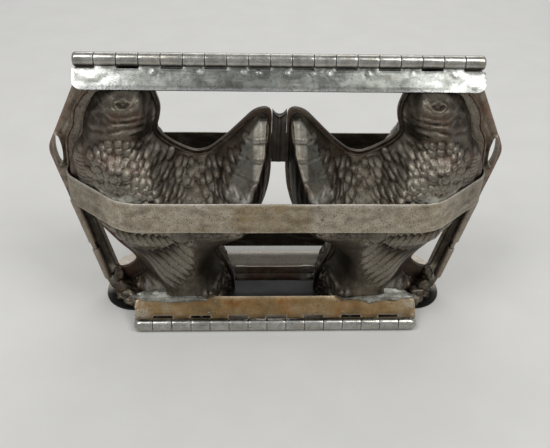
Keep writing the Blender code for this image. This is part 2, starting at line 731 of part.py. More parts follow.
def build():
    clear_scene()
    parts = make_collection("chocolate_mould")
    cutters = make_collection("cutters")
    groups = (parts, cutters)

    tin_dark = make_material("tin_dark", (0.16, 0.14, 0.12), 0.42)
    tin_grey = make_material("tin_grey", (0.36, 0.34, 0.31), 0.40)
    tin_bright = make_material("tin_bright", (0.55, 0.56, 0.54), 0.28)
    tin_bronze = make_material("tin_bronze", (0.42, 0.33, 0.22), 0.35)
    wire_dark = make_material("wire_dark", (0.12, 0.11, 0.10), 0.50)

    trim_low = (-base_half_width * 1.5, -half_depth * 1.5, -0.05)
    trim_high = (base_half_width * 1.5, half_depth * 1.5, shell_foot_z)
    trim = add_cutter("feet_trim", box_mesh("feet_trim", trim_low, trim_high), cutters)

    top_place = (0.0, 0.0, top_axis_z)
    foot_place = (0.0, foot_axis_y, foot_axis_z)
    top_tips = (top_end_round, top_end_round)
    foot_tips = (foot_end_round, foot_end_round)
    front_top_turn = Matrix.Rotation(math.pi + top_leaf_tilt, 4, "X")
    rear_top_turn = Matrix.Rotation(-top_leaf_tilt, 4, "X")
    foot_turn = Matrix.Rotation(foot_leaf_tilt, 4, "X")

    for half, front in (("front", True), ("rear", False)):
        bird = bird_mesh(half + "_bird", front)
        make_shells(half, front, groups, trim, tin_dark, bird)
        bpy.data.meshes.remove(bird)
        make_side_plates(half, front, groups, tin_dark, wire_dark)
        make_strap(half + "_band", front, band_half_width, band_end_y, band_low_z, band_height,
                   parts, tin_grey)
        (web_half, web_low), (_, web_top) = stretched([tail_web[:2], (0.0, tail_web[2])])
        make_web(half + "_tail_bridge", front, web_half - joint_gap,
                 web_low, web_top, 1.5 * MM, parts, tin_dark)
        strip_top = front_strip_top_z if front else rear_strip_top_z
        strip_half = stretched([inner_rim[1]])[0][0] - 1.2 * joint_gap
        make_web(half + "_foot_strip", front, strip_half,
                 foot_strip_low_z, strip_top, 0.0, parts, tin_dark)
        make_leaf(half + "_top_leaf", top_length, top_knuckles, not front, 0.0, top_tips,
                  top_place, front_top_turn if front else rear_top_turn, groups, tin_bright)
    make_strap("rear_foot_strap", False, strap_half_width, strap_end_y, strap_low_z, strap_height,
               parts, tin_dark)
    make_leaf("front_bottom_leaf", foot_length, foot_knuckles, True, 0.0, foot_tips,
              foot_place, foot_turn, groups, tin_bronze)
    make_base(groups, tin_bright, tin_bronze)
    make_pin("top_hinge_pin", top_length, top_tips, top_place, parts, wire_dark)
    make_pin("bottom_hinge_pin", foot_length, foot_tips, foot_place, parts, wire_dark)


build()
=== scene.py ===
import math

import bpy
import numpy as np
from mathutils import Matrix, Vector, noise
from mathutils.geometry import delaunay_2d_cdt


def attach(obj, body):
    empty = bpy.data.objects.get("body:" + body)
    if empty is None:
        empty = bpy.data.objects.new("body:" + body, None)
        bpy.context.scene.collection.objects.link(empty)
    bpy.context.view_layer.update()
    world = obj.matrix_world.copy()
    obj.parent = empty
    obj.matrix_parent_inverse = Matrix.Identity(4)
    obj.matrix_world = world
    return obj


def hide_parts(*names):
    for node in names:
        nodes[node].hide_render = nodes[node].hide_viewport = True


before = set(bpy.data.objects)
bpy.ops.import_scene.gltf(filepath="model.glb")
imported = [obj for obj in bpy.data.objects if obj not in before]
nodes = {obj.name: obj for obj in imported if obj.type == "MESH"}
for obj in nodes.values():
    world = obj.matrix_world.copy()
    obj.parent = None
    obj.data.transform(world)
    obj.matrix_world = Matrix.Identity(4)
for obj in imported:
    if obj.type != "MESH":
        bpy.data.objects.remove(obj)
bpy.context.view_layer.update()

mm = 0.001
markNames = ("wear", "grime", "rust", "solder")
sheetMarks = {"back": 0.6, "rimWear": 0.25}  # the back's share of the marks, and the least wear on a cut rim
halves = (("front", True), ("rear", False))
quarters = [(*half, *side) for half in halves for side in (("left", -1), ("right", 1))]

# Small helpers; every length below is in mm


def hexToLinear(code):
    channels = [int(code[i:i + 2], 16) / 255 for i in (1, 3, 5)]
    return tuple(c / 12.92 if c <= 0.04045 else ((c + 0.055) / 1.055) ** 2.4 for c in channels) + (1,)


def addNode(tree, kind, settings, out=0):  # one shader node; a setting that is a socket is linked
    made = tree.nodes.new("ShaderNode" + kind)
    for key, value in settings.items():
        if key == "stops":
            while len(made.color_ramp.elements) < len(value):
                made.color_ramp.elements.new(0.5)
            for element, (spot, code) in zip(made.color_ramp.elements, value):
                element.position, element.color = spot, hexToLinear(code)
        elif isinstance(value, bpy.types.NodeSocket):
            tree.links.new(value, made.inputs[key])
        elif isinstance(key, int) or key in made.inputs:
            made.inputs[key].default_value = hexToLinear(value) if isinstance(value, str) else value
        else:
            setattr(made, key, value)
    return made.outputs[out]


def smoothStep(low, high, value):  # 0 at low, 1 at high
    share = np.clip((value - low) / (high - low), 0, 1)
    return share * share * (3 - 2 * share)


def between(value, start, full, fade, end):
    return smoothStep(start, full, value) * smoothStep(end, fade, value)


def bell(value, middle, wide):
    return np.exp(-((value - middle) / wide) ** 2)


def blend(old, new, share):
    return old * (1 - share) + share * new


def softLeast(first, second, soft):  # the smaller of two, rounded where they meet
    share = np.clip(0.5 + 0.5 * (second - first) / soft, 0, 1)
    return first * share + second * (1 - share) - soft * share * (1 - share) / 2


def wobble(points, size, seed=0):  # soft noise, -1 to 1; size is one length or one for each direction
    scaled = np.asarray(points, float) / np.asarray(size, float)
    if scaled.shape[1] == 2:
        scaled = np.concatenate([scaled, np.zeros((len(scaled), 1))], axis=1)
    return np.array([noise.noise(Vector((x + seed, y - seed, z))) for x, y, z in scaled])


def evenPath(points, spacing):
    points = np.asarray(points, float)
    run = np.concatenate([[0], np.cumsum(np.linalg.norm(np.diff(points, axis=0), axis=1))])
    goals = np.linspace(0, run[-1], max(2, round(run[-1] / spacing)) + 1)
    return np.stack([np.interp(goals, run, points[:, k]) for k in range(points.shape[1])], axis=1)


def smoothPath(points, spacing):  # even points on a Catmull-Rom curve
    ends = np.array([points[0], *points, points[-1]], float)
    fine = []
    for a, b, c, d in zip(ends, ends[1:], ends[2:], ends[3:]):
        for t in np.arange(16) / 16:
            fine.append(0.5 * (2 * b + (c - a) * t + (2 * a - 5 * b + 4 * c - d) * t * t
                               + (3 * b - a - 3 * c + d) * t ** 3))
    return evenPath([*fine, ends[-1]], spacing)


def roundedOutline(corners, steps=8):  # closed outline with its corners (x, y, radius) turned into arcs
    outline = []
    for index, (x, y, radius) in enumerate(corners):
        here = np.array([x, y])
        back = np.array(corners[index - 1][:2]) - here
        ahead = np.array(corners[(index + 1) % len(corners)][:2]) - here
        back, ahead = back / np.linalg.norm(back), ahead / np.linalg.norm(ahead)
        half = math.acos(max(-1, min(1, back @ ahead))) / 2
        if radius <= 0 or half > math.radians(88):
            outline.append((x, y))
            continue
        first, last = (here + way * radius / math.tan(half) for way in (back, ahead))
        middle = here + (back + ahead) / np.linalg.norm(back + ahead) * radius / math.sin(half)
        begin = math.atan2(*(first - middle)[::-1])
        sweep = (math.atan2(*(last - middle)[::-1]) - begin + math.pi) % math.tau - math.pi
        for step in range(steps + 1):
            angle = begin + sweep * step / steps
            outline.append((middle[0] + radius * math.cos(angle), middle[1] + radius * math.sin(angle)))
    return np.array(outline)


def insideLoop(points, loop):
    crossed = np.zeros(len(points), bool)
    for (ax, ay), (bx, by) in zip(loop, np.roll(loop, -1, axis=0)):
        if ay != by:
            spans = (ay > points[:, 1]) != (by > points[:, 1])
            crossed ^= spans & (points[:, 0] < ax + (bx - ax) * (points[:, 1] - ay) / (by - ay))
    return crossed


def pathDistance(points, path):
    best = np.full(len(points), 1e9)
    path = np.asarray(path, float)
    for a, b in zip(path, path[1:]):
        along = b - a
        share = np.clip(((points - a) @ along) / max(1e-12, along @ along), 0, 1)
        gap = points - a - share[:, None] * along
        best = np.minimum(best, gap[:, 0] ** 2 + gap[:, 1] ** 2)
    return np.sqrt(best)


def loopDistance(points, loop):
    return pathDistance(points, np.concatenate([loop, loop[:1]]))


def rightOf(path):  # unit vectors to the right of a path
    ahead = np.gradient(path, axis=0)
    return np.stack([ahead[:, 1], -ahead[:, 0]], axis=1) / np.linalg.norm(ahead, axis=1)[:, None]


def gridInside(loops, step, clear):  # staggered points inside the first loop, outside the others
    low, high = loops[0].min(0), loops[0].max(0)
    rows = []
    for index, level in enumerate(np.arange(low[1], high[1], step * 0.87)):
        across = np.arange(low[0] + (index % 2) * step / 2, high[0], step)
        rows.append(np.stack([across, np.full(len(across), level)], axis=1))
    spots = np.concatenate(rows)
    spots = spots[insideLoop(spots, loops[0])]
    for loop in loops[1:]:
        spots = spots[~insideLoop(spots, loop)]
    return spots[np.min([loopDistance(spots, loop) for loop in loops], axis=0) > clear]


def loopEdges(start, count):
    return [(start + i, start + (i + 1) % count) for i in range(count)]


def triangulate(points, edges):  # points, triangles, and the given point that each point comes from
    made, _, tris, origin, _, _ = delaunay_2d_cdt([Vector(p) for p in points], edges, [], 0, 1e-7)
    source = np.array([o[0] if o else -1 for o in origin])
    return np.array([tuple(p) for p in made]), np.array([t for t in tris if len(t) == 3]), source


def flatSheet(loops, step):  # points and triangles of a flat sheet with holes
    edges = []
    for loop in loops:
        edges += loopEdges(len(edges), len(loop))
    made, tris, _ = triangulate(np.concatenate([*loops, gridInside(loops, step, step * 0.55)]), edges)
    middles = made[tris].mean(1)
    keep = insideLoop(middles, loops[0])
    for loop in loops[1:]:
        keep &= ~insideLoop(middles, loop)
    return made, tris[keep]


def sidesOf(tris):
    return np.concatenate([tris[:, [0, 1]], tris[:, [1, 2]], tris[:, [2, 0]]])


def facing(points, tris, way=1):  # triangles of a flat field, all the same way round
    a, b, c = (points[tris[:, k]] for k in range(3))
    return np.where((np.cross(b - a, c - a) * way > 0)[:, None], tris, tris[:, ::-1])


def vertexNormals(verts, tris):
    a, b, c = (verts[tris[:, k]] for k in range(3))
    normals = np.zeros_like(verts)
    for k in range(3):
        np.add.at(normals, tris[:, k], np.cross(b - a, c - a))
    return normals / np.maximum(1e-12, np.linalg.norm(normals, axis=1))[:, None]


def ringFaces(rings, sides, turned=False):  # quads between rings of points, one ring after another
    faces = []
    for row in range(rings - 1):
        for a, b in loopEdges(0, sides):
            a, b = a + row * sides, b + row * sides
            faces.append((a, a + sides, b + sides, b) if turned else (a, b, b + sides, a + sides))
    return faces


def meshFrom(name, verts, faces, marks):
    mesh = bpy.data.meshes.new(name)
    mesh.from_pydata((np.asarray(verts) * mm).tolist(), [], [list(map(int, face)) for face in faces])
    for key in markNames:
        values = np.clip(marks.get(key, 0) + np.zeros(len(verts)), 0, 1)
        mesh.attributes.new(key, "FLOAT", "POINT").data.foreach_set("value", values)
    mesh.shade_smooth()
    return mesh


def thickSheet(name, verts, tris, offset, marks):  # a sheet given a back and a crisp rim
    directed = sidesOf(tris)
    _, first, uses = np.unique(np.sort(directed, axis=1), axis=0, return_index=True, return_counts=True)
    rim = directed[first[uses == 1]]
    rimPoints, place = np.unique(rim, return_inverse=True)
    count, back = len(verts), verts + offset
    near = place.reshape(rim.shape) + 2 * count
    far = near + len(rimPoints)
    faces = tris.tolist() + (tris[:, ::-1] + count).tolist()
    faces += np.stack([near[:, 1], near[:, 0], far[:, 0], far[:, 1]], axis=1).tolist()
    spread = {}
    for key, value in marks.items():
        value = value + np.zeros(count)
        spread[key] = np.concatenate([value, value * sheetMarks["back"], value[rimPoints], value[rimPoints]])
    spread["wear"][2 * count:] = np.maximum(spread["wear"][2 * count:], sheetMarks["rimWear"])
    return meshFrom(name, np.concatenate([verts, back, verts[rimPoints], back[rimPoints]]), faces, spread)


def joined(name, pieces):  # one mesh from several (verts, faces, marks)
    faces, start = [], 0
    for points, polygons, _ in pieces:
        faces += [[start + i for i in polygon] for polygon in polygons]
        start += len(points)
    marks = {key: np.concatenate([given.get(key, 0) + np.zeros(len(points)) for points, _, given in pieces])
             for key in markNames}
    return meshFrom(name, np.concatenate([piece[0] for piece in pieces]), faces, marks)


def newPiece(name, mesh, tin, body, slotName, *replaced, side=1, front=True):
    mesh = mesh.copy()  # mirrored for the other side and for the rear half
    mesh.name = name
    mesh.transform(Matrix.Diagonal((side, 1 if front else -1, 1, 1)))
    if (side < 0) == front:
        mesh.flip_normals()
    mesh.materials.append(tins[tin])
    item = bpy.data.objects.new(name, mesh)
    bpy.context.scene.collection.objects.link(item)
    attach(item, body)
    if replaced:
        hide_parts(*replaced)


# Materials: one family of old tinned steel sheet, at the stages of wear that the mould shows, and a nearly
# black copy as painted shade


def tinMaterial(name, look):
    material = bpy.data.materials.new(name)
    material.use_nodes = True
    tree = material.node_tree
    shader = tree.nodes["Principled BSDF"].inputs
    shader["Metallic"].default_value = look["metallic"]
    where = addNode(tree, "TexCoord", {}, "Object")
    lengthwise = addNode(tree, "Mapping", {"Scale": (0.06, 1, 1), "Vector": where})
    mark = {key: addNode(tree, "Attribute", {"attribute_name": key}, "Fac") for key in markNames}
    noises = (  # name, size in mm, detail, roughness, distortion, direction
        ("patch", look["patch"], 5, 0.6, 0.4, where),  # darker and lighter tin, as large as the real patches
        ("grain", look["grain"], 3, 0.7, 0, where),  # worn tin, about 1 mm, drawn coarser than it is to show
        ("spots", look["stainSize"], 6, 0.65, 0, where),  # brown stain
        ("wiped", 3.5, 3, 0.6, 0, where),  # soft solder wiped on unevenly
        ("scratch", 0.9, 2, 0.5, 0, lengthwise),  # fine scratches along the length of the mould
        ("dent", look["dent"], 1.5, 0.5, 0, where))
    noises = {key: addNode(tree, "TexNoise", {"Scale": 1 / (size * mm), "Detail": detail, "Roughness": rough,
                                              "Distortion": bend, "Vector": way})
              for key, size, detail, rough, bend, way in noises}
    ramps = (
        ("tone", "patch", [(0.34, look["dark"]), (0.5, look["mid"]), (0.66, look["light"])]),
        ("speck", "grain", [(0.33, look["speckDark"]), (0.47, "#ffffff")]),
        ("spots", "spots", [(0.5, "#000000"), (0.72, "#ffffff")]),
        ("rubAndSheen", "grain", [(0.3, "#5a5a5a"), (0.6, "#ffffff")]),
        ("wiped", "wiped", [(0.3, "#808080"), (0.52, "#ffffff")]),
        ("bright", "scratch", [(0.62, "#000000"), (0.74, "#ffffff")]))
    ramps = {key: addNode(tree, "ValToRGB", {"stops": stops, "Fac": noises[source]})
             for key, source, stops in ramps}
    # stain in spots, and wherever a piece is marked as rusted
    stain = addNode(tree, "Math", {"operation": "MULTIPLY", 0: ramps["spots"], 1: look["stainShare"]})
    broken = addNode(tree, "Math", {"operation": "MULTIPLY_ADD", 0: ramps["spots"], 1: 0.9, 2: 0.45})
    marked = addNode(tree, "Math", {"operation": "MULTIPLY", 0: mark["rust"], 1: broken})
    stain = addNode(tree, "Math", {"operation": "ADD", "use_clamp": True, 0: stain, 1: marked})
    # dirt and painted shade in the hollows and on shaded faces, bare bright tin where rubbed and as painted
    # highlights, grey solder, also laid as painted light on the tail plates
    dirtAndShade = addNode(tree, "Math", {"operation": "MULTIPLY", 0: mark["grime"], 1: look["dirtAndShadeShare"]})
    # the rubbed mark also lays painted highlights in the bare tin colour
    rubAndSheen = addNode(tree, "Math", {"operation": "MULTIPLY", 0: mark["wear"], 1: ramps["rubAndSheen"]})
    rubAndSheen = addNode(tree, "Math", {"operation": "MULTIPLY", "use_clamp": True, 0: rubAndSheen, 1: look["bareAndSheenShare"]})
    # the solder mark also lays painted light on the tail plates
    solder = addNode(tree, "Math", {"operation": "MULTIPLY", "use_clamp": True,
                                    0: mark["solder"], 1: ramps["wiped"]})
    # bright scratches; the same key sets the painted reflection at the ends of the hinge leaves
    bright = addNode(tree, "Math", {"operation": "MULTIPLY", 0: ramps["bright"], 1: look["scratchShare"]})
    tone = addNode(tree, "Mix", {"data_type": "RGBA", "blend_type": "MULTIPLY", 0: 1,
                                 6: ramps["tone"], 7: ramps["speck"]}, 2)
    layers = ((stain, "stain"), (dirtAndShade, "dirtAndShade"), (rubAndSheen, "bareAndSheen"), (solder, "solder"), (bright, "bareAndSheen"))
    for share, color in layers:
        tone = addNode(tree, "Mix", {"data_type": "RGBA", 0: share, 6: tone, 7: look[color]}, 2)
    tree.links.new(tone, shader["Base Color"])

    rough = look["rough"] - 0.12
    for source, amount in ((noises["patch"], 0.24), (dirtAndShade, 0.2), (stain, 0.15)):
        rough = addNode(tree, "Math", {"operation": "MULTIPLY_ADD", "use_clamp": source == stain,
                                       0: source, 1: amount, 2: rough})
    tree.links.new(rough, shader["Roughness"])
    bumps = addNode(tree, "Math", {"operation": "MULTIPLY_ADD", 1: 0.5,
                                   0: noises["scratch"], 2: noises["grain"]})
    fine = addNode(tree, "Bump", {"Strength": look["bump"], "Distance": 0.12 * mm, "Height": bumps})
    dents = addNode(tree, "Bump", {"Strength": 0.5, "Distance": look["dentDepth"] * mm,
                                   "Height": noises["dent"], "Normal": fine})
    tree.links.new(dents, shader["Normal"])
    return material


plainTin = {  # what a look leaves out
    "metallic": 1, "patch": 10, "grain": 0.9, "speckDark": "#b4b4b4", "stainSize": 18, "stainShare": 0.2,
    "dirtAndShadeShare": 0.9, "bareAndSheenShare": 0.6, "scratchShare": 0.15, "rough": 0.4, "bump": 0.3, "dent": 9,
    "dentDepth": 0.25, "solder": "#b3b2a8"}
lookColors = ("dark", "mid", "light", "stain", "dirtAndShade", "bareAndSheen")
looks = {  # six colours, then what differs from plain tin
    # tinned sheet stamped over a die: brown-black where the tin is gone, paler on the feather tips
    "stampedTin": ("#474037 #5d564b #71695c #5e3f33 #221f1a #b9b3a6", {
        "patch": 12, "stainSize": 20, "stainShare": 0.25, "bareAndSheenShare": 0.42, "scratchShare": 0.06,
        "bump": 0.4, "dent": 4, "dentDepth": 0.2}),
    # cut and bent tinned sheet of the straps: grey-beige, finely pitted
    "bentTin": ("#998f81 #ada392 #beb6a6 #87703f #342e27 #ece8de", {
        "patch": 6, "grain": 0.75, "stainSize": 26, "rough": 0.46, "speckDark": "#625e59",
        "scratchShare": 0.05, "dentDepth": 0.12}),
    # side plates: the same sheet, browner, with red rust at its edges
    "edgeTin": ("#7c7263 #8e8474 #a0988a #86584a #2c2823 #cfcabf", {
        "patch": 7, "grain": 0.8, "stainSize": 12, "stainShare": 0.12, "rough": 0.48, "speckDark": "#8c8780",
        "scratchShare": 0.05}),
    # pieces that sit in shade between and under the others: nearly black, painted shade
    "shadeDarkTin": ("#4a4641 #5d5852 #6e6962 #63503f #1f1d1a #b9b7b0", {
        "patch": 12, "stainSize": 15, "bareAndSheenShare": 0.8, "scratchShare": 0.06}),
    # base plate: dull grey-beige tin at its back and ends, where it is lit, painted dark under the birds as
    # painted shade (see below)
    "baseTin": ("#bdb4a6 #cbc2b3 #d8d0c3 #a5927b #2a2723 #e6e2d8", {
        "metallic": 0.4, "patch": 16, "stainSize": 22, "stainShare": 0.3, "rough": 0.5,
        "speckDark": "#a8a49c", "bump": 0.2, "dent": 16}),
    # leaves of the top hinge: the brightest tin, softly beaten; its gloss and a painted reflection of bare
    # tin give the white ends
    "brightTin": ("#636560 #71736e #81837e #7b6d5a #34332e #f4f4f1", {
        "patch": 8, "stainSize": 14, "stainShare": 0.1, "rough": 0.26, "speckDark": "#b0b0ae",
        "bareAndSheenShare": 0.75, "bump": 0.22, "dent": 6, "dentDepth": 0.3}),
    # barrels of both hinges: the same tin rolled tight and rubbed smooth, a long mirror across
    "rolledTin": ("#8c8b84 #a3a29b #b5b4ae #8c7c63 #2c2a26 #eeeeea", {
        "patch": 7, "stainSize": 9, "stainShare": 0.3, "rough": 0.22, "speckDark": "#c8c6c0",
        "bareAndSheenShare": 0.5, "bump": 0.08, "dent": 12, "dentDepth": 0.08}),
    # leaves of the foot hinge: tin gone thin over a warm bronze tone
    "bronzeTin": ("#7d6a4d #957b55 #9d8d74 #7e5a34 #3a3024 #cfc9ba", {
        "patch": 17, "stainSize": 10, "stainShare": 0.15, "rough": 0.3, "speckDark": "#bcb8ae",
        "scratchShare": 0.06, "bump": 0.18}),
    # drawn steel wire in the hinges and rolled edges
    "drawnWire": ("#4a4640 #67625a #7d776c #5e4030 #1d1a17 #b5afa3", {
        "patch": 5, "grain": 0.7, "stainSize": 6, "stainShare": 0.4}),
    # soft solder wiped over the joints: dull grey, lumpy
    "wipedSolder": ("#8f8f87 #a7a69d #bbbab1 #6f6a5e #3b3934 #d8d8d2", {
        "patch": 4, "grain": 1.2, "stainSize": 6, "stainShare": 0.4, "rough": 0.5, "bump": 0.5,
        "speckDark": "#96958e"}),
}
tins = {name: tinMaterial(name, {**plainTin, **dict(zip(lookColors, colors.split())), **more})
        for name, (colors, more) in looks.items()}

# the base plate is painted dark as painted shade everywhere but at its back edge and its two ends, where
# light reaches it
plateShade = {"color": "#141311", "back": (0.025, 0.034), "ends": (0.094, 0.112), "endsBack": (-0.006, 0.012)}
tree = tins["baseTin"].node_tree
plateColor = tree.nodes["Principled BSDF"].inputs["Base Color"]
place = addNode(tree, "TexCoord", {}, "Object")
acrossPlate, alongPlate = (addNode(tree, "SeparateXYZ", {"Vector": place}, axis) for axis in "XY")
aside = addNode(tree, "Math", {"operation": "ABSOLUTE", 0: acrossPlate})
back, ends, endsBack = (
    addNode(tree, "MapRange", {"From Min": plateShade[key][0], "From Max": plateShade[key][1], "Value": source})
    for key, source in (("back", alongPlate), ("ends", aside), ("endsBack", alongPlate)))
ends = addNode(tree, "Math", {"operation": "MULTIPLY", 0: ends, 1: endsBack})
litShare = addNode(tree, "Math", {"operation": "MAXIMUM", 0: back, 1: ends})
tone = addNode(tree, "Mix", {"data_type": "RGBA", 0: litShare, 6: plateShade["color"],
                             7: plateColor.links[0].from_socket}, 2)
tree.links.new(tone, plateColor)
print("materials:", len(tins))

# Sizes shared by the pieces

sheet = {"shell": 1, "plate": 1, "band": 1.2, "leaf": 1.2, "base": 1.2, "gap": 0.3, "inner": 0.15}
outerFace = sheet["inner"] + sheet["shell"]
footCut = sheet["base"] + sheet["gap"]
halfDepth = 47.5

# The bird: flange, raised form, head, feathers and tail, drawn for the right-hand bird (across, height)

bird = {
    "outline": [
        (32, -12), (32.5, 8), (35, 19), (39.5, 30), (43.5, 41), (39.5, 54.5),
        (28, 65.5), (16, 75), (10.2, 90), (7.6, 106), (6.8, 122), (6.8, 138),
        (7.8, 146.2), (11.6, 149.4), (16.4, 147), (23, 140.2), (33, 130), (43.5, 121.2),
        (50.2, 118.8), (56.6, 118.7), (65.4, 122.2), (74, 127.6), (80, 134), (81, 140),
        (79.2, 146.5), (78.4, 153.5), (80.4, 161.4), (83.6, 167.6),
        (89, 171.6), (98, 172.4), (106, 169.2), (112.5, 164), (118.5, 157),
        (123, 149.5), (125.6, 141.5), (126.2, 136), (128.5, 131.5), (133, 126), (136, 116),
        (136.2, 104), (133.2, 89), (127.2, 74.5), (118.6, 60.5), (109, 48), (100.5, 38.5),
        (95.5, 31), (94.5, 24), (98, 18), (104.5, 13.5), (109, 8), (110.4, 1), (110.6, -12)],
    "upperSeam": [(112, 176), (117.5, 167), (125, 158.5), (130.5, 149.5), (132.5, 140),
                  (136.6, 132), (138.3, 122), (138.6, 106), (135.8, 89), (130.4, 75.5)],
    "lowerSeam": [(112.8, 22.3), (114, 18), (114.2, 10), (114.2, -12)],
    "innerRim": [(29.5, -12), (30, 8.5), (32.4, 20), (36.9, 31.2), (40.6, 41), (37.3, 52.4),
                 (26.3, 63), (13.6, 73.2), (7.4, 89.4), (5, 105.8), (5, 122), (5, 138),
                 (5, 147), (6.2, 151), (10.2, 152.4), (17, 149.9), (24.3, 142.8), (34.5, 132.4),
                 (45, 123.6), (50.5, 121.4), (56, 121.3), (64, 124.6), (72.5, 130), (77.6, 135.4),
                 (78.4, 139.5), (76.6, 146), (75.9, 153.5), (78, 162), (80.8, 170), (84.5, 175.8),
                 (88, 178.2), (104, 178.2)],
    "windowRim": [(121.8, 59), (112.4, 46.4), (104.6, 37.6), (101.2, 31.8), (103.6, 27), (108.4, 23.4)],
    # ridge of the tail and back; below it the back falls away evenly, up to the nape
    "backLine": [(11.6, 149.4), (16.4, 147), (23, 140.2), (33, 130), (43.5, 121.2), (50.2, 118.8),
                 (56.6, 118.7), (65.4, 122.2), (74, 127.6), (80, 134), (95, 160)],
    "backSlope": 1.28,
    "nape": {"start": 60, "blend": 12, "swell": 0.5, "height": 128, "rise": 3, "rear": 0.3},
    # middle (across, height), spread (across, height), depth, edge radius, how bluntly the edge rises
    "forms": [(98, 99, 30, 26, 46.4, 40, 0.5), (58, 98, 22, 24, 45, 24, 0.5),
              (25, 106, 14, 24, 47, 17, 0.5), (14, 138, 10, 11, 36, 10, 0.5),
              (124, 72, 16, 14, 37, 56, 1), (92, 56, 18, 13, 39, 47, 0.88),
              (62, 58, 18, 16, 40, 20, 0.5), (66, 38, 13, 9, 37, 20, 0.5),
              (91, 31, 10, 9, 20, 16, 0.6), (58, 6, 24, 10, 46.4, 24, 0.5),
              (102, 9, 13, 13, 12, 16, 0.6), (94, 159, 13, 12, 26, 15, 0.5),
              (97, 141, 15, 8, 29, 20, 0.5), (118, 150, 9, 10, 15, 14, 0.6)],
    "meshStep": 1.45, "wallRows": 10, "ringInset": 1.2, "curve": 2.2, "outlineStep": 1.5, "rimStep": 1.8,
    "seamStep": 2, "weld": 0.04,
    # small feathers: spacing along and across their rows, their size, and where they lie across the bird
    "breast": {"along": 3.6, "across": 4.9, "length": 7.3, "width": 6.1, "lift": 1.3, "jitter": 0.55,
               "from": 45, "to": 121, "turned": 38},
    "rump": {"along": 4.8, "across": 6.2, "length": 9.5, "width": 7.8, "lift": 1.3, "jitter": 0.7,
             "from": 12, "to": 49, "turned": 10},
    "featherStart": (75, 105), "featherSizes": (0.74, 1.2), "featherSway": 0.3,
    # scales down the outer side of the breast, then the wing edge below the band:
    # count, first root, shift to the next, direction, length, width, lift
    "featherRows": [(10, (125, 110), (0.35, 2.7), (-0.1, -0.995), 5.4, 9.5, 1),
                    (8, (104, 88), (-4.4, -0.6), (-0.5, -0.866), 15.5, 4.3, 1.3)],
    # long feathers of the wing and thigh: root, tip, width, lift
    "quills": [((97, 65), (68.5, 32), 6.4, 1.5), ((91.5, 67), (65, 36), 6.4, 1.5),
               ((86, 69), (61.5, 40), 6.4, 1.5), ((80.5, 70.5), (58.5, 44.5), 6.4, 1.5),
               ((75, 72.5), (56.5, 49.5), 6.4, 1.5), ((70.5, 76), (55.5, 55), 6.4, 1.5),
               ((66.5, 80.5), (55.5, 62), 6.4, 1.5), ((63, 93), (63, 76), 13, 1.3)],
    # upper edge of the feathered area, and how far the feathers turn from straight down towards the tail
    "featherTop": [(14, 144), (22, 137.5), (32, 127.5), (42, 119.5), (52, 116), (60, 117.5),
                   (68, 121.5), (76, 127), (84, 137.5), (92, 142), (100, 144), (108, 142.5),
                   (114, 140), (120, 137), (128, 130)],
    "featherTurn": [(20, -15), (36, 8), (50, 30), (70, 42), (98, 40), (112, 22), (125, 0)],
    # flat ends of the tail feathers: inner and outer edge (height, across), and the steps between them
    "tailInner": [(104, 24), (113, 18.5), (119, 14), (131, 9.6), (146, 8)],
    "tailOuter": [(104, 34), (116, 29.5), (127, 24.5), (140, 17.5), (147, 12.5)],
    "tailSteps": [135.5, 126.8, 117.5, 108.5],
    # lines of the head: path, width, rise
    "headLines": [
        ([(108, 163.2), (103, 167), (96, 168.6), (89.5, 167.4), (86, 164)], 1.1, 0.5),
        ([(112, 156.6), (106, 160.2), (100, 160.8), (94, 160.2), (87.5, 161.4)], 1.2, 0.45),
        ([(110.8, 162.5), (114.6, 159), (118.8, 154.4), (121.8, 148.2), (124, 141)], 1.3, -1.3),
        ([(116.9, 153), (111.5, 156), (106.6, 158.2), (102.1, 155.8), (96, 155.9), (88.5, 156.4),
          (84.2, 155.2)], 0.95, 0.9),
        ([(116.6, 151), (111, 153.8), (106, 155.4), (101.5, 153.2), (95.5, 153.4), (88, 154)], 0.9, -0.8),
        ([(117.5, 145), (110, 147.6), (101, 151.4), (92, 152.6), (84.8, 152.6)], 1.1, 0.7),
        ([(118.5, 143), (110, 145.4), (101, 148.6), (92, 150), (85, 149.8)], 0.9, -0.6),
        ([(119, 140.5), (110, 143.4), (98.8, 146.6), (90, 147.6), (85, 147)], 1.4, 0.8),
        ([(80.6, 160), (81.2, 154), (82.6, 147), (84.4, 140.5)], 1.4, -1.3),
        ([(84.6, 166), (83.6, 160), (84.2, 153.5)], 0.8, -0.6),
        ([(87, 165.5), (85.6, 160), (86, 155.5)], 0.7, 0.45),
        ([(112, 160), (108, 161.2), (105, 160.4)], 0.8, 0.5)],
    "bandSolder": [(27, 8), (103, 14)],
    "eye": {"at": (95.3, 164.2), "long": 4.4, "tall": 1.7, "ball": 1.35},
    "beakRim": [(114, 164.4), (120.4, 157.4), (125, 149.8), (127.8, 141.6), (129, 136)],
}
band = {"height": 22, "low": 87, "half": 140.5, "bend": 30, "slope": 42, "return": 20, "slack": 1.2,
        "end": outerFace + sheet["gap"], "step": 2, "rows": 14, "edgeRound": 0.45,
        "strapHeight": 14, "strapLow": 5.6, "strapHalf": 97.3, "strapEnd": 16, "strapClear": 7.8}
hinge = {"barrel": 4.5, "bore": 2.6, "ease": 0.4, "loopStep": 1.4,
         "leafWidth": 19.4, "corner": 6, "slot": 1.3, "turn": 0.3,
         "topLength": 254, "topCount": 19, "topZ": 183.3, "topTilt": 45, "topTip": 2,
         "footLength": 200, "footCount": 15, "footY": -43, "footZ": 4.5, "footTilt": 48, "footTip": 5,
         "sides": 32, "step": 1.7}



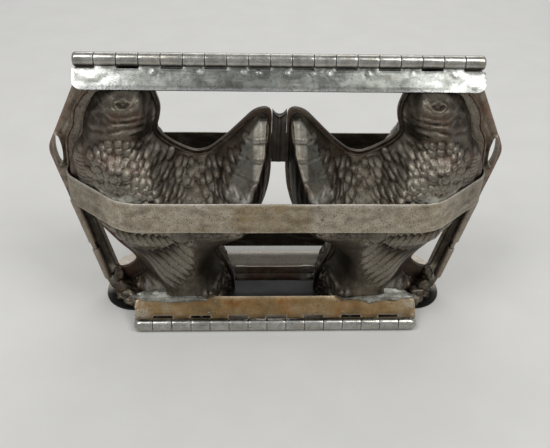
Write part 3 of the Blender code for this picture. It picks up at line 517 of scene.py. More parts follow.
def strapPath(half, end, steps=12):  # half of a strap's outer line in plan
    slope, bend, back = math.radians(band["slope"]), band["bend"], band["return"]
    run = halfDepth - end - bend * (1 - math.cos(slope)) - back * math.cos(slope)
    across = bend * math.sin(slope) + run / math.tan(slope) + back * (1 - math.sin(slope))
    corner = half - across
    path = [(0, halfDepth)]
    for angle in np.linspace(0, slope, steps):
        path.append((corner + bend * math.sin(angle), halfDepth - bend * (1 - math.cos(angle))))
    for angle in np.linspace(slope, math.pi / 2, steps):
        path.append((half - back * (1 - math.sin(angle)), end + back * math.cos(angle)))
    return np.array(path)


def strapLimit(across, half, end):
    path = strapPath(half, end)
    corner = path[1][0]
    slack = np.clip((across - corner) / band["bend"], 0, 1)
    limit = np.interp(across, *path.T) - (sheet["band"] + sheet["gap"]) * (1 + band["slack"] * slack)
    limit = np.where(across <= corner, halfDepth - sheet["band"] - sheet["gap"], limit)
    return np.where(across > half, end - sheet["gap"] - 2 * sheet["band"], limit)


def leafLimit(height, front):
    tilt = math.radians(hinge["topTilt"])
    leafLow = hinge["topZ"] - (hinge["leafWidth"] + sheet["leaf"]) * math.sin(tilt)
    above = np.maximum(height, leafLow)
    head = (hinge["topZ"] - above) / math.tan(tilt) - (sheet["leaf"] / 2 + sheet["gap"]) / math.cos(tilt)
    head = head + (above - height) * 3
    if not front:
        return head
    tilt = math.radians(hinge["footTilt"])
    leafTop = hinge["footZ"] + (hinge["leafWidth"] + sheet["leaf"]) * math.sin(tilt)
    under = np.minimum(height, leafTop)
    foot = -hinge["footY"] - (under - hinge["footZ"]) / math.tan(tilt)
    foot = foot - (sheet["leaf"] / 2 + sheet["gap"]) / math.sin(tilt)
    foot = np.minimum(foot, -hinge["footY"] - hinge["barrel"] - 0.5) + (height - under) * 1.6
    return np.minimum(foot, head)


def birdRelief(points, gap, front):  # how far the bird stands out of its flange
    across, level = points.T
    forms = [(np.exp(-((across - middle) / wide) ** 2 - ((level - high) / tall) ** 2) + 1e-9, values)
             for middle, high, wide, tall, *values in bird["forms"]]
    total = sum(weight for weight, _ in forms)
    deep, edge, blunt = (sum(weight * values[k] for weight, values in forms) / total for k in range(3))
    raised = (deep - outerFace) * np.maximum(0, 1 - (1 - np.minimum(1, gap / edge)) ** bird["curve"]) ** blunt
    limit = strapLimit(across, band["half"], band["end"])
    if not front:
        low = level < band["strapLow"] + band["strapHeight"] + band["strapClear"]
        strap = strapLimit(across, band["strapHalf"], band["strapEnd"])
        limit = np.where(low, np.minimum(limit, strap), limit)
    limit = np.minimum(limit, leafLimit(level, front)) - outerFace
    nape = bird["nape"]
    swell = (across - nape["start"]) * nape["swell"] + np.maximum(0, level - nape["height"]) * nape["rise"]
    swell *= 1 if front else nape["rear"]
    swell *= np.clip((across - nape["start"]) / nape["blend"], 0, 1)
    fall = (np.interp(across, *np.array(bird["backLine"]).T) - level + swell) * bird["backSlope"]
    raised = softLeast(raised, fall, np.clip(fall * 0.3, 0.1, 4))
    return np.maximum(0, softLeast(raised, limit, 2)), edge


def stampFeather(field, points, root, way, length, width, lift):  # laid over the feathers below it
    local = points - root
    near = np.flatnonzero((local ** 2).sum(1) < (length + width) ** 2)
    along = (local[near] @ way) / length
    beside = (local[near] @ (-way[1], way[0])) / (width / 2)
    bulge = np.where(along > 0.5, np.sqrt(np.maximum(0, 1 - ((along - 0.5) / 0.5) ** 2)), 0.7 + 0.6 * along)
    hit = (along >= 0) & (along <= 1) & (np.abs(beside) < bulge)
    near, share, across = near[hit], along[hit], beside[hit] / np.maximum(0.05, bulge[hit])
    swell = np.minimum(1, 0.15 + 1.55 * share) * (1 - 0.6 * across ** 2)
    swell *= 1 - 0.55 * smoothStep(0.72, 1, share)
    field["height"][near] = lift * swell
    field["wear"][near] = smoothStep(0.3, 0.8, swell) * (0.55 + 0.6 * share)
    field["grime"][near] = smoothStep(0.5, 0.15, swell)


def featherField(field, points, rule):  # staggered feathers, laid from the tips up to the head
    random = np.random.default_rng(7)
    turn = math.radians(rule["turned"])
    way, side = np.array([-math.sin(turn), -math.cos(turn)]), np.array([math.cos(turn), -math.sin(turn)])
    feathers = []
    for row in range(-60, 60):
        for place in range(-60, 60):
            spot = bird["featherStart"] + way * row * rule["along"]
            spot = spot + side * (place + 0.5 * (row % 2)) * rule["across"]
            spot = spot + random.uniform(-1, 1, 2) * rule["jitter"]
            size = random.uniform(*bird["featherSizes"])
            head = np.interp(spot[0], *np.array(bird["featherTop"]).T)
            if rule["from"] < spot[0] < rule["to"] and 78 < spot[1] < head + 1.5:
                feathers.append((spot @ way, spot, size, head))
    for _, spot, size, head in sorted(feathers, key=lambda feather: -feather[0]):
        angle = np.interp(spot[0], *np.array(bird["featherTurn"]).T)
        angle = math.radians(angle) + random.uniform(-bird["featherSway"], bird["featherSway"])
        scale = size * (0.72 + 0.28 * smoothStep(0, 16, head - spot[1]))
        stampFeather(field, points, spot, (-math.sin(angle), -math.cos(angle)),
                     rule["length"] * scale, rule["width"] * scale, rule["lift"] * size)


def birdDetail(points, gap, raised, rim):
    across, level = points.T
    solid = np.column_stack([across, raised, level])
    field = {key: np.zeros(len(points)) for key in ("height", "wear", "grime")}
    for key in ("rump", "breast"):
        featherField(field, points, bird[key])
    for count, start, shift, way, *sizes in bird["featherRows"]:
        for step in range(count):
            stampFeather(field, points, np.array(start) + step * np.array(shift), way, *sizes)
    for start, end, *sizes in bird["quills"]:
        way = np.array(end) - start
        length = np.linalg.norm(way)
        stampFeather(field, points, start, way / length, length, *sizes)
    height, wear, grime = field.values()
    # flat ends of the tail feathers, stepped one over the next, and the grooved wall beside them, painted
    # dark as painted shade where it faces the other tail
    left, right = (np.interp(level, *np.array(bird[key]).T) for key in ("tailInner", "tailOuter"))
    share = (across - left) / (right - left)
    plates = between(share, -0.06, 0.04, 0.95, 1.05) * between(level, 103, 105, 145, 147.5)
    tilted = level + 2.4 * (share - 0.5)
    drop = np.zeros(len(points))
    for cut in bird["tailSteps"]:
        drop += 0.9 * bell(tilted, cut, 0.55)
        drop -= 0.7 * np.exp(-np.maximum(0, tilted - cut - 0.5) / 2.2) * (tilted > cut + 0.5)
    height = blend(height, 1.3 - drop, plates)
    rubbed = (0.15 + 0.6 * smoothStep(0.1, 0.7, -drop)) * (0.75 + 0.5 * wobble(points, 5, 6))
    wear = blend(wear, rubbed, plates)
    grime = blend(grime, 0.8 * smoothStep(0.2, 0.8, drop), plates)
    wall = smoothStep(-0.02, -0.12, share) * smoothStep(70, 78, level) * (across < 40)
    lines = np.sin(gap * 2.6 + 0.9 * wobble(points, (4, 14), 3)) * 0.3
    height = blend(height, lines, wall)
    grime = np.maximum(grime * (1 - wall), wall * (0.55 + 0.4 * smoothStep(0.1, -0.2, lines)))
    wear = blend(wear, 0.3 * smoothStep(0.15, 0.3, lines), wall)
    # painted shade over the rump: darker, and less rubbed tin
    rump = between(across, 28, 38, 60, 76) * smoothStep(78, 82, level)
    grime = np.maximum(grime, 0.5 * rump * (1 - plates))
    wear *= 1 - 0.5 * rump
    # head, kept smooth and then drawn in lines
    head = smoothStep(0, 2, level - np.interp(across, *np.array(bird["featherTop"]).T)) * (across > 76)
    height, wear, grime = (value * (1 - head) for value in (height, wear, grime))
    patches = wobble(points, (7, 4), 27)
    for path, width, rise in bird["headLines"]:
        near = bell(pathDistance(points, smoothPath(path, 1)), 0, width) * (0.8 + 0.5 * patches)
        height += rise * near
        wear = np.maximum(wear, near * 0.55 * (rise > 0))
        grime = np.maximum(grime, near * 0.75 * (rise < 0))
    eye = bird["eye"]
    aside, above = np.abs(across - eye["at"][0]), level - eye["at"][1]
    lid = np.abs(above) - eye["tall"] * np.maximum(0, 1 - (aside / eye["long"]) ** 2)
    lid = np.where(aside < eye["long"], lid, np.hypot(aside - eye["long"], above))
    ball = np.hypot(aside, above) / eye["ball"]
    height += 0.35 * bell(lid, 0.8, 0.5) - 0.6 * smoothStep(0.35, -0.35, lid)
    height += 0.95 * np.sqrt(np.maximum(0, 1 - ball ** 2))
    wear = np.maximum(wear, 0.15 * bell(lid, 0.8, 0.5))
    # the eye's almond is painted dark as painted shade, darker still on the ball
    grime = np.maximum(grime, smoothStep(0.5, -0.1, lid) * np.where(ball > 0.9, 0.85, 0.45))
    # painted shadow of the top leaf across the brow
    brow = head * smoothStep(165.5, 169.5, level + 0.05 * (across - 95) ** 2)
    throat = bell(across, 110.5, 6.5) * bell(level, 150.3, 3)
    grime = np.maximum(np.maximum(grime, 0.55 * brow), throat * 0.5)
    height += head * (0.3 * wobble(points, (3.4, 2.2), 30) + 0.12 * wobble(points, 1.2, 31))
    height += throat * wobble(points, 1.1, 5) * 0.6
    wear += head * 0.35 * smoothStep(0.05, 0.4, wobble(points, (5, 3), 33))
    # smooth side of the leg, tufts of grass round the feet, solder over the toes
    leg = smoothStep(57, 52, across) * between(level, 18, 30, 76, 84)
    height, wear = height * (1 - leg), wear * (1 - leg)
    grime = np.maximum(grime * (1 - leg), leg * 0.5)
    tuft = smoothStep(32, 22, level + 6 * wobble(solid, 9, 17)) * smoothStep(60, 53, across)
    tuft = np.maximum(tuft, smoothStep(28, 18, level) * smoothStep(90, 97, across))
    blades = np.abs(wobble(solid, (3.4, 4.2, 5), 9)) * 3.2 + 0.5 * wobble(solid, 1.4, 5)
    blades = np.where(across > 80, 0.5 * blades + 0.9 * wobble(solid, 6, 12), blades)
    height = blend(height, blades, tuft)
    grime = blend(grime, 0.6 - 0.55 * smoothStep(0.1, 0.9, blades), tuft)
    wear = blend(wear, 0.5 * smoothStep(0.5, 1.3, blades), tuft)
    toes = between(across, 55, 60, 93, 97) * smoothStep(25, 20, level)
    height = blend(height, 0.5 + 0.35 * wobble(points, 4, 2), toes)
    grime, wear = grime * (1 - toes), wear * (1 - toes)
    # solder run into the angle between the breast and the top of the band
    reach = level - (band["low"] + band["height"] + 2.6 + 3.4 * wobble(points, (6, 5), 21))
    places = sum(np.exp(-((across - middle) / wide) ** 4) for middle, wide in bird["bandSolder"])
    filled = smoothStep(0.9, -0.9, reach) * smoothStep(-6, -3, reach) * np.minimum(1, places)
    filled *= smoothStep(26, 33, raised)
    height = blend(height, 1 + 0.4 * wobble(points, 2.5, 22), filled)
    grime, wear = grime * (1 - filled), wear * (1 - 0.6 * filled)
    # the form's detail fades out where it meets its flange; the flange has a rim and rust of its own
    fade = smoothStep(0.4, 2.6, raised)
    height, wear, grime = (value * fade for value in (height, wear, grime))
    flange, inner = raised < 0.4, across > 8
    beak = bell(pathDistance(points, smoothPath(bird["beakRim"], 1)), 0, 1.7)
    edge = loopDistance(points, rim)
    height += flange * (0.5 * beak + 0.2 * bell(edge, 0, 0.8) * inner)
    grime = np.where(flange, 0.35 * (1 - beak) * smoothStep(0.5, 2.5, edge), grime)
    wear = np.where(flange, np.maximum(beak * 0.3, 0.3 * bell(edge, 0, 0.7) * inner), wear)
    wear = np.maximum(wear, flange * smoothStep(106, 114, across) * (level > 78) * (0.75 + 0.4 * patches))
    grime = np.maximum(grime, 0.7 * bell(gap, 0, 1.2) * (raised < 3) * ~flange)
    # painted highlight on the low breast: more of the rubbed mark there
    wear = np.minimum(1, wear * (1 + 1.1 * bell(across, 103, 16) * bell(level, 114, 8)))
    rust = np.maximum(0.5 * bell(pathDistance(points, bird["upperSeam"]), 0, 2.6), 0.25 * flange)
    rust += 0.9 * bell(across, 125, 9) * bell(level, 119, 15)
    # painted shadow in the hollow beside the end of the band, outside the breast
    grime = np.maximum(grime, 0.85 * between(across, 113, 119, 130, 135) * between(level, 100, 104, 110, 117))
    rust += 0.35 * smoothStep(86, 92, across) * smoothStep(66, 58, level)
    rust += 0.3 * smoothStep(0.1, 0.4, wobble(points, (12, 9), 41)) * (level > 84)
    # the tail plates take solder grey, a paler tone of their own, rising towards their outer side as painted
    # light
    solder = np.maximum(toes * 0.5, filled * 0.95) + plates * (0.15 + 0.5 * np.clip(share, 0, 1))
    height += 0.12 * wobble(points, 7, 1)
    return height, {"wear": wear, "grime": grime, "rust": rust, "solder": solder}


def gridTris(columns, rows):
    a = (np.arange(rows - 1)[:, None] * columns + np.arange(columns - 1)).reshape(-1)
    return np.concatenate([np.stack([a, a + 1, a + 1 + columns], axis=1),
                           np.stack([a, a + 1 + columns, a + columns], axis=1)])


def split(points, tris):  # every triangle into four
    unique, place = np.unique(np.sort(sidesOf(tris), axis=1), axis=0, return_inverse=True)
    ab, bc, ca = place.reshape(3, -1) + len(points)
    a, b, c = tris.T
    tris = [np.stack(corners, axis=1) for corners in ((a, ab, ca), (b, bc, ab), (c, ca, bc), (ab, bc, ca))]
    return np.concatenate([points, points[unique].mean(1)]), np.concatenate(tris)


def birdMesh(name, front):
    outline = smoothPath(bird["outline"], bird["outlineStep"])
    rim = [make(bird[key], bird[spacing]) for make, key, spacing in (
        (smoothPath, "innerRim", "rimStep"), (evenPath, "upperSeam", "seamStep"),
        (smoothPath, "windowRim", "rimStep"), (evenPath, "lowerSeam", "seamStep"))]
    rim = np.concatenate(rim)
    inset, rows, curve, step = (bird[key] for key in ("ringInset", "wallRows", "curve", "meshStep"))
    # wall strip that rises from the flange along the outline
    inward, count = rightOf(outline), len(outline)
    ring = outline + inward * inset
    _, edge = birdRelief(ring, np.full(count, inset), front)
    top = np.sqrt(1 - (1 - inset / edge) ** curve)
    gaps = [edge * (1 - (1 - (top * row / rows) ** 2) ** (1 / curve)) for row in range(rows + 1)]
    spots = [outline + inward * gap[:, None] for gap in gaps]
    # even field inside the wall strip
    field = gridInside([ring], step, 0.55 * step)
    away = np.concatenate([np.full(count, inset), pathDistance(field, outline)])
    made, fresh, source = triangulate(np.concatenate([ring, field]), loopEdges(0, count))
    fresh = fresh[insideLoop(made[fresh].mean(1), ring)]
    tris = [gridTris(count, rows + 1), fresh + (rows + 1) * count]
    spots.append(made)
    gaps.append(np.where(source >= 0, away[np.maximum(source, 0)], inset))
    # flat flange around them
    field = gridInside([rim], step * 1.2, 0.8)
    field = field[~insideLoop(field, outline)]
    field = field[pathDistance(field, outline) > 0.9]
    edges = loopEdges(0, count)[:-1] + loopEdges(count, len(rim))
    made, fresh, _ = triangulate(np.concatenate([outline, rim, field]), edges)
    middles = made[fresh].mean(1)
    tris.append(fresh[insideLoop(middles, rim) & ~insideLoop(middles, outline)] + sum(len(s) for s in spots))
    spots.append(made)
    gaps.append(np.zeros(len(made)))

    points, tris = split(np.column_stack([np.concatenate(spots), np.concatenate(gaps)]), np.concatenate(tris))
    points, gap = points[:, :2], points[:, 2]
    raised = birdRelief(points, gap, front)[0]
    key = np.round(np.column_stack([points, raised]) / bird["weld"]).astype(int)
    _, first, place = np.unique(key, axis=0, return_index=True, return_inverse=True)
    points, gap, raised, tris = points[first], gap[first], raised[first], place.reshape(-1)[tris]
    tris = tris[(tris != np.roll(tris, -1, axis=1)).all(1)]
    tris = facing(points, tris[(points[tris][:, :, 1] > footCut).any(1)])
    detail, marks = birdDetail(points, gap, raised, rim)
    verts = np.column_stack([points[:, 0], -outerFace - raised, np.maximum(footCut, points[:, 1])])
    normals = vertexNormals(verts, tris)
    verts += normals * detail[:, None]
    verts[:, 2] = np.maximum(footCut, verts[:, 2])
    return thickSheet(name, verts, tris, -normals * sheet["shell"], marks)


birdSurfaces = {half: birdMesh(half + "_bird_surface", front) for half, front in halves}
for half, front, sideName, side in quarters:
    node = f"{half}_shell_{sideName}"
    newPiece("stamped_" + node, birdSurfaces[half], "stampedTin", half + "_half", "tin_dark", node,
             side=side, front=front)
print("shells:", len(birdSurfaces["front"].vertices), "points each")

# Straps on edge: two bands round the middle and one round the feet behind


def endCaps(rings, sides):
    return [list(range(sides)), list(range((rings - 1) * sides, rings * sides))[::-1]]


def strapMesh(name, half, end, low, height, stainFrom, stainTo, seed):
    path = strapPath(half, end, 18)
    path = evenPath(np.concatenate([path[::-1] * (-1, 1), path[1:]]), band["step"])
    inward = rightOf(path)
    inward *= np.sign(-(inward * (path - (0, 10))).sum(1))[:, None]
    edge, thick = band["edgeRound"], sheet["band"]
    turns = np.linspace(0, math.pi, 7)[1:-1]
    levels = np.linspace(edge, height - edge, band["rows"])
    section = [(0, z) for z in levels]
    section += [(thick / 2 * (1 - math.cos(t)), height - edge + edge * math.sin(t)) for t in turns]
    section += [(thick, z) for z in levels[::-1]]
    section += [(thick / 2 * (1 + math.cos(t)), edge - edge * math.sin(t)) for t in turns]
    depth, level = np.array(section).T
    count, ring = len(path), len(section)
    sway = wobble(np.column_stack([path[:, 0], np.full(count, seed)]), (38, 1), seed) * 0.25
    spots = path[:, None] + inward[:, None] * depth[:, None]
    rise = low + level + sway[:, None] * np.where(level > height / 2, 1, -0.5)
    verts = np.dstack([spots[..., 0], -spots[..., 1], rise]).reshape(-1, 3)
    dent = wobble(verts, (16, 16, 9), seed + 4) * 0.16
    verts[:, :2] += np.repeat(inward * (1, -1), ring, axis=0) * (np.abs(dent) + 0.02)[:, None]
    share, inner = np.tile(level / height, count), np.tile(depth / thick, count)
    # a painted highlight along the top edge where it catches the light, lighter wear along the bottom edge
    wear = 0.95 * smoothStep(1 - 1.1 / height, 1 - 0.2 / height, share) * (inner < 0.9)
    wear += 0.45 * smoothStep(1.4 / height, 0.2 / height, share)
    wear += 0.22 * smoothStep(0.1, 0.5, wobble(verts, (12, 12, 3), 2))
    grime = 0.3 * smoothStep(0.15, 0.5, wobble(verts, (9, 9, 5), 8))
    # painted shade on the inner face, and darker towards the bends at the ends
    grime += 0.95 * smoothStep(0.3, 0.8, inner) + 0.35 * smoothStep(106, 122, np.abs(verts[:, 0]))
    rust = 0.75 * between(verts[:, 0], stainFrom - 8, stainFrom + 4, stainTo - 4, stainTo + 8)
    rust += 0.25 * smoothStep(0.1, 0.5, wobble(verts, (20, 20, 8), 12))
    return meshFrom(name, verts, ringFaces(count, ring) + endCaps(count, ring),
                    {"wear": wear, "grime": grime, "rust": rust})


bandSizes = (band["half"], band["end"], band["low"], band["height"])
strapSizes = (band["strapHalf"], band["strapEnd"], band["strapLow"], band["strapHeight"])
straps = {  # half width, end, low edge, height; stained from, to, seed; slot
    "front_band": (bandSizes, (-26, 16, 1), "tin_grey"),
    "rear_band": (bandSizes, (60, 80, 5), "tin_grey"),
    "rear_foot_strap": (strapSizes, (-60, -30, 9), "tin_dark")}
for node, (sizes, stain, slotName) in straps.items():
    half = node.split("_")[0]
    newPiece("bent_" + node, strapMesh(node, *sizes, *stain), "bentTin", half + "_half", slotName, node,
             front=half == "front")
print("straps")

# Side plates: flat sheet with a hemmed outer edge and an oval hole; the front ones end in rolled tubes

plate = {"edge": [(150.6, 123, 16), (125.2, 14, 5)], "foot": (121, 4), "inset": 0.6,
         "topX": 127, "flangeTop": 178.5, "rail": {"front": 10, "rear": 12.5}, "bendZ": 23.1,
         "hole": (143.6, 122, 2.75, 11.5), "holeRim": 2.3, "step": 1.54, "loopStep": 1.6,
         "hem": [(127, 170), (149.3, 125), (149.6, 121), (125.2, 14)],
         # rolled tubes with a notch between, and the wire that shows in it: low, high, radius, sides, bore
         "roll": 2.8, "tubes": [(15, 41.5, 2.8, 24, 1.5), (48, 84, 2.8, 24, 1.5), (39.5, 50, 1.45, 14, 0.2)]}


def edgeAt(height):
    (highX, highZ, _), (lowX, lowZ, _) = plate["edge"]
    return lowX + (highX - lowX) * (height - lowZ) / (highZ - lowZ)


def sideLoop(half):
    upper = [(x + 0.48, z) for x, z in reversed(bird["upperSeam"])]
    lower = [(x + 0.36, z) for x, z in reversed(bird["lowerSeam"])]
    leafLow = hinge["topZ"] - hinge["leafWidth"] * math.sin(math.radians(hinge["topTilt"]))
    (highX, highZ, _), (lowX, lowZ, _) = plate["edge"]
    slope = (highX - lowX) / (highZ - lowZ)
    rail = plate["rail"][half] * math.hypot(1, slope)
    startX, startZ = upper[0]
    (seamX, seamZ), (rimX, rimZ) = bird["upperSeam"][-1], bird["windowRim"][0]
    fall = max(0.5, (startX + 0.09 - edgeAt(startZ) + rail) / ((seamX - rimX) / (seamZ - rimZ) - slope))
    corners = [(upper[-1][0], plate["flangeTop"], 0),
               (plate["topX"] - plate["inset"], plate["flangeTop"], 1.5),
               (plate["topX"] + plate["inset"], leafLow, 12), *plate["edge"],
               (plate["foot"][0], footCut, plate["foot"][1]), (lower[0][0], footCut, 0),
               *((x, z, 0) for x, z in lower[1:]), (edgeAt(plate["bendZ"]) - rail, plate["bendZ"], 4),
               (edgeAt(startZ) - rail - slope * fall, startZ - fall, 0), *((x, z, 0) for x, z in upper[:-1])]
    loop = roundedOutline(corners)
    return evenPath(np.concatenate([loop, loop[:1]]), plate["loopStep"])[:-1]


def tubePart(low, high, radius, sides, bore):  # open rolled tube along the lower outer edge
    start, end = (np.array([edgeAt(z) - plate["roll"], -sheet["inner"] - plate["roll"] - 0.1, z])
                  for z in (low, high))
    run = np.linalg.norm(end - start)
    along = (end - start) / run
    aside = np.cross(along, (0, 1, 0))
    aside /= np.linalg.norm(aside)
    profile = [(0, bore), (0, radius - 0.35), (0.12, radius - 0.1), (0.4, radius)]
    profile += [(s, radius) for s in np.linspace(0.4, run - 0.4, max(3, round(run / 3)))[1:-1]]
    profile += [(run - s, r) for s, r in profile[3::-1]]
    angles = np.arange(sides) * math.tau / sides
    around = np.cos(angles)[:, None] * aside + np.sin(angles)[:, None] * np.cross(along, aside)
    verts = np.concatenate([start + along * s + around * r for s, r in profile])
    verts += np.column_stack([wobble(verts, 5, seed) for seed in (1, 20, 40)]) * 0.07
    spot = np.repeat([s for s, _ in profile], sides)
    seam = np.tile(bell(np.minimum(angles, math.tau - angles), 0, 0.25), len(profile))
    wear = np.maximum(0.8 * np.exp(-np.minimum(spot, run - spot) / 0.6), 0.3)
    return verts, ringFaces(len(profile), sides, True), {"wear": wear, "grime": 0.8 * seam, "rust": 0.2}


def sidePlateMesh(half, front):
    holeX, holeZ, wide, tall = plate["hole"]
    angles = np.linspace(0, math.tau, 40)[:-1]
    hole = np.column_stack([holeX + wide * np.cos(angles), holeZ + tall * np.sin(angles)])
    points, tris = flatSheet([sideLoop(half), hole], plate["step"])
    across, level = points.T
    hem, dish = pathDistance(points, plate["hem"]), loopDistance(points, hole)
    seam = pathDistance(points, bird["upperSeam"])
    rise = 0.55 * smoothStep(3.4, 2.2, hem) * (level < 168) + 0.35 * bell(hem, 5, 1.2) * (level < 140) * front
    rise += 0.3 * wobble(points, 14, 6) - 0.3 * bell(seam, 0, 1.5)
    rise = np.clip(rise, -0.1, 1) + plate["holeRim"] * smoothStep(2.2, 0.5, dish)  # a deep rounded rim
    # the rail between heights 22 and 92 is painted dark as painted shade
    marks = {"wear": 0.5 * bell(dish, 0, 0.8) + 0.35 * bell(hem, 0, 0.8)
             + 0.35 * smoothStep(0.2, 0.5, wobble(points, (5, 12), 4)),
             "grime": 0.6 * bell(seam, 0.8, 1.2) + 0.4 * bell(dish, 2, 1) + 0.5 * bell(hem, 3.6, 0.8)
             + 0.4 * smoothStep(0.2, 0.6, wobble(points, 8, 7)) + 0.9 * between(level, 22, 28, 84, 92),
             "rust": 0.6 * bell(seam, 1, 2) + 0.6 * smoothStep(3, 1.6, hem),
             "solder": bell(across, 117.5, 4) * bell(level, 13, 6) + 0.5 * bell(seam, 0.8, 1) * (level < 120)}
    verts = np.column_stack([across, -outerFace - rise, level])
    offset = np.column_stack([0 * rise, sheet["plate"] + rise, 0 * rise])
    return thickSheet(half + "_side", verts, facing(points, tris), offset, marks)


sideSheets = {half: sidePlateMesh(half, front) for half, front in halves}
rolledEdge = joined("rolled_edge", [tubePart(*tube) for tube in plate["tubes"]])
for half, front, sideName, side in quarters:
    node = f"{half}_side_plate_{sideName}"
    newPiece("cut_" + node, sideSheets[half], "edgeTin", half + "_half", "tin_dark", node,
             side=side, front=front)
    if front:
        newPiece(f"rolled_edge_{sideName}", rolledEdge, "edgeTin", "front_half", "tin_dark", side=side)
print("side plates")

# Hinge leaves: beaten sheet rolled into barrels round a wire pin


def leafLoop(length, count, odd):
    pitch, slot, turn = length / count, hinge["barrel"] + hinge["slot"], hinge["turn"]
    corners = []
    for index in range(count):
        low = -length / 2 + index * pitch
        high = low + pitch
        if (index % 2 == 0) == odd:
            corners += [(low + turn, 2.5, 0), (high - turn, 2.5, 0)]
        else:
            left = low + turn / 2 if index == 0 else low - turn / 2
            right = high - turn / 2 if index == count - 1 else high + turn / 2
            corners += [(left, slot, 0), (right, slot, 0)]
    width, corner = hinge["leafWidth"], hinge["corner"]
    loop = roundedOutline([*corners, (length / 2 - turn / 2, width, corner),
                           (-length / 2 + turn / 2, width, corner)])
    sides = zip(loop, np.roll(loop, -1, axis=0))
    return np.concatenate([evenPath([a, b], hinge["loopStep"])[:-1] for a, b in sides])


def knuckleEnd(root, way, tip):  # closed to a round tip, or an eased rim round the bore
    radius, curve = hinge["barrel"], [(root, 0.05 if tip else hinge["bore"])]
    for share in np.linspace(0, 1, 7):
        if tip:
            curve.append((root + way * tip * share, radius * (0.45 + 0.55 * math.sqrt(1 - (1 - share) ** 2))))
        else:
            curve.append((root + way * hinge["ease"] * share, radius - 0.3 * (1 - share) ** 2))
    return curve


def knucklePart(start, end, tipLeft, tipRight, seed, slotAt):
    middle = np.linspace(start + max(tipLeft, hinge["ease"]), end - max(tipRight, hinge["ease"]), 6)[1:-1]
    profile = knuckleEnd(start, 1, tipLeft) + [(x, hinge["barrel"]) for x in middle]
    profile += knuckleEnd(end, -1, tipRight)[::-1]
    angles = np.arange(hinge["sides"]) * math.tau / hinge["sides"]
    verts = np.concatenate([np.column_stack([0 * angles + x, r * np.cos(angles), r * np.sin(angles)])
                            for x, r in profile])
    verts[:, 1:] *= (1 + 0.012 * wobble(verts, (6, 4, 4), seed))[:, None]
    spot = np.repeat([x for x, _ in profile], len(angles))
    ends = np.minimum(spot - start, end - spot)
    grime = 0.6 * np.exp(-np.abs(ends) / 0.12)
    # painted shade on the side of the barrel that shows through the other leaf's slot, under that leaf
    if slotAt is not None:
        away = (np.tile(angles, len(profile)) - math.radians(slotAt) + math.pi) % math.tau - math.pi
        grime = np.maximum(grime, 0.95 * smoothStep(0.62, 0.42, np.abs(away)))
    wear = 0.2 + 0.5 * np.exp(-ends / 0.5)
    return verts, ringFaces(len(profile), len(angles)), {"wear": wear, "grime": grime, "rust": 0.1}


def leafMeshes(name, length, count, tip, look, odd, outside, drop, pips=(), slotAt=None):
    loop = leafLoop(length, count, odd)
    points, tris = flatSheet([loop], hinge["step"])
    across, away = points.T
    edge = loopDistance(points, loop)
    rise = 0.22 * wobble(points, (15, 8), look["seed"]) - 0.35 * smoothStep(0.8, 0, edge)
    wear, grime = np.zeros(len(points)), np.zeros(len(points))
    for spot in pips:
        far = np.hypot(across - spot, away - pipAway)
        rise += 0.85 * bell(far, 0, pipRadius) - 0.25 * bell(far, 2, 0.7)
        wear = np.maximum(wear, bell(far, 0, pipRadius))
        grime = np.maximum(grime, 0.35 * bell(far, 2.1, 0.8))
    # painted reflection: towards each end the leaf is painted light in clouds of bare tin
    far = smoothStep(look["brightFrom"], length / 2 - 6, np.abs(across))
    cloud = wobble(points, (11, 5), look["seed"] + 3) + 0.5 * wobble(points, 3, 2)
    wear += far * smoothStep(-0.35, 0.35, cloud) * look["bright"] + 0.7 * smoothStep(0.9, 0.1, edge)
    grime += 0.8 * bell(np.maximum(0, away - 5.6), 0, 0.9) * look["dirty"]
    grime += 0.45 * smoothStep(0.15, 0.5, wobble(points, (9, 4), 15)) * look["dirty"]
    rust = look["rust"] * smoothStep(-0.1, 0.4, wobble(points, (20, 9), 11))
    verts = np.column_stack([points, outside * (sheet["leaf"] / 2 + np.clip(rise, -0.5, 0.45)) + drop])
    leaf = thickSheet(name + "_sheet", verts, facing(points, tris, outside), (0, 0, -outside * sheet["leaf"]),
                      {"wear": wear, "grime": grime, "rust": rust})
    knuckles, pitch = [], length / count
    for index in range(0 if odd else 1, count, 2):
        low = -length / 2 + index * pitch + hinge["turn"] / 2
        tips = (tip if odd and index == last else 0 for last in (0, count - 1))
        knuckles.append(knucklePart(low, low + pitch - hinge["turn"], *tips, index, slotAt))
    return leaf, joined(name + "_barrels", knuckles)


# where along a leaf the painted reflection at its ends begins, and how strong it is
leafLooks = {"top": {"seed": 3, "brightFrom": 76, "bright": 0.8, "dirty": 0.7, "rust": 0.1},
             "foot": {"seed": 8, "brightFrom": 86, "bright": 1, "dirty": 0.6, "rust": 0.9}}
pips = [-78, -49, -23, -14, 3.5, 19.4, 29, 54, 81, 107]  # raised pips along the front leaf
pipAway, pipRadius = 7.8, 1.15
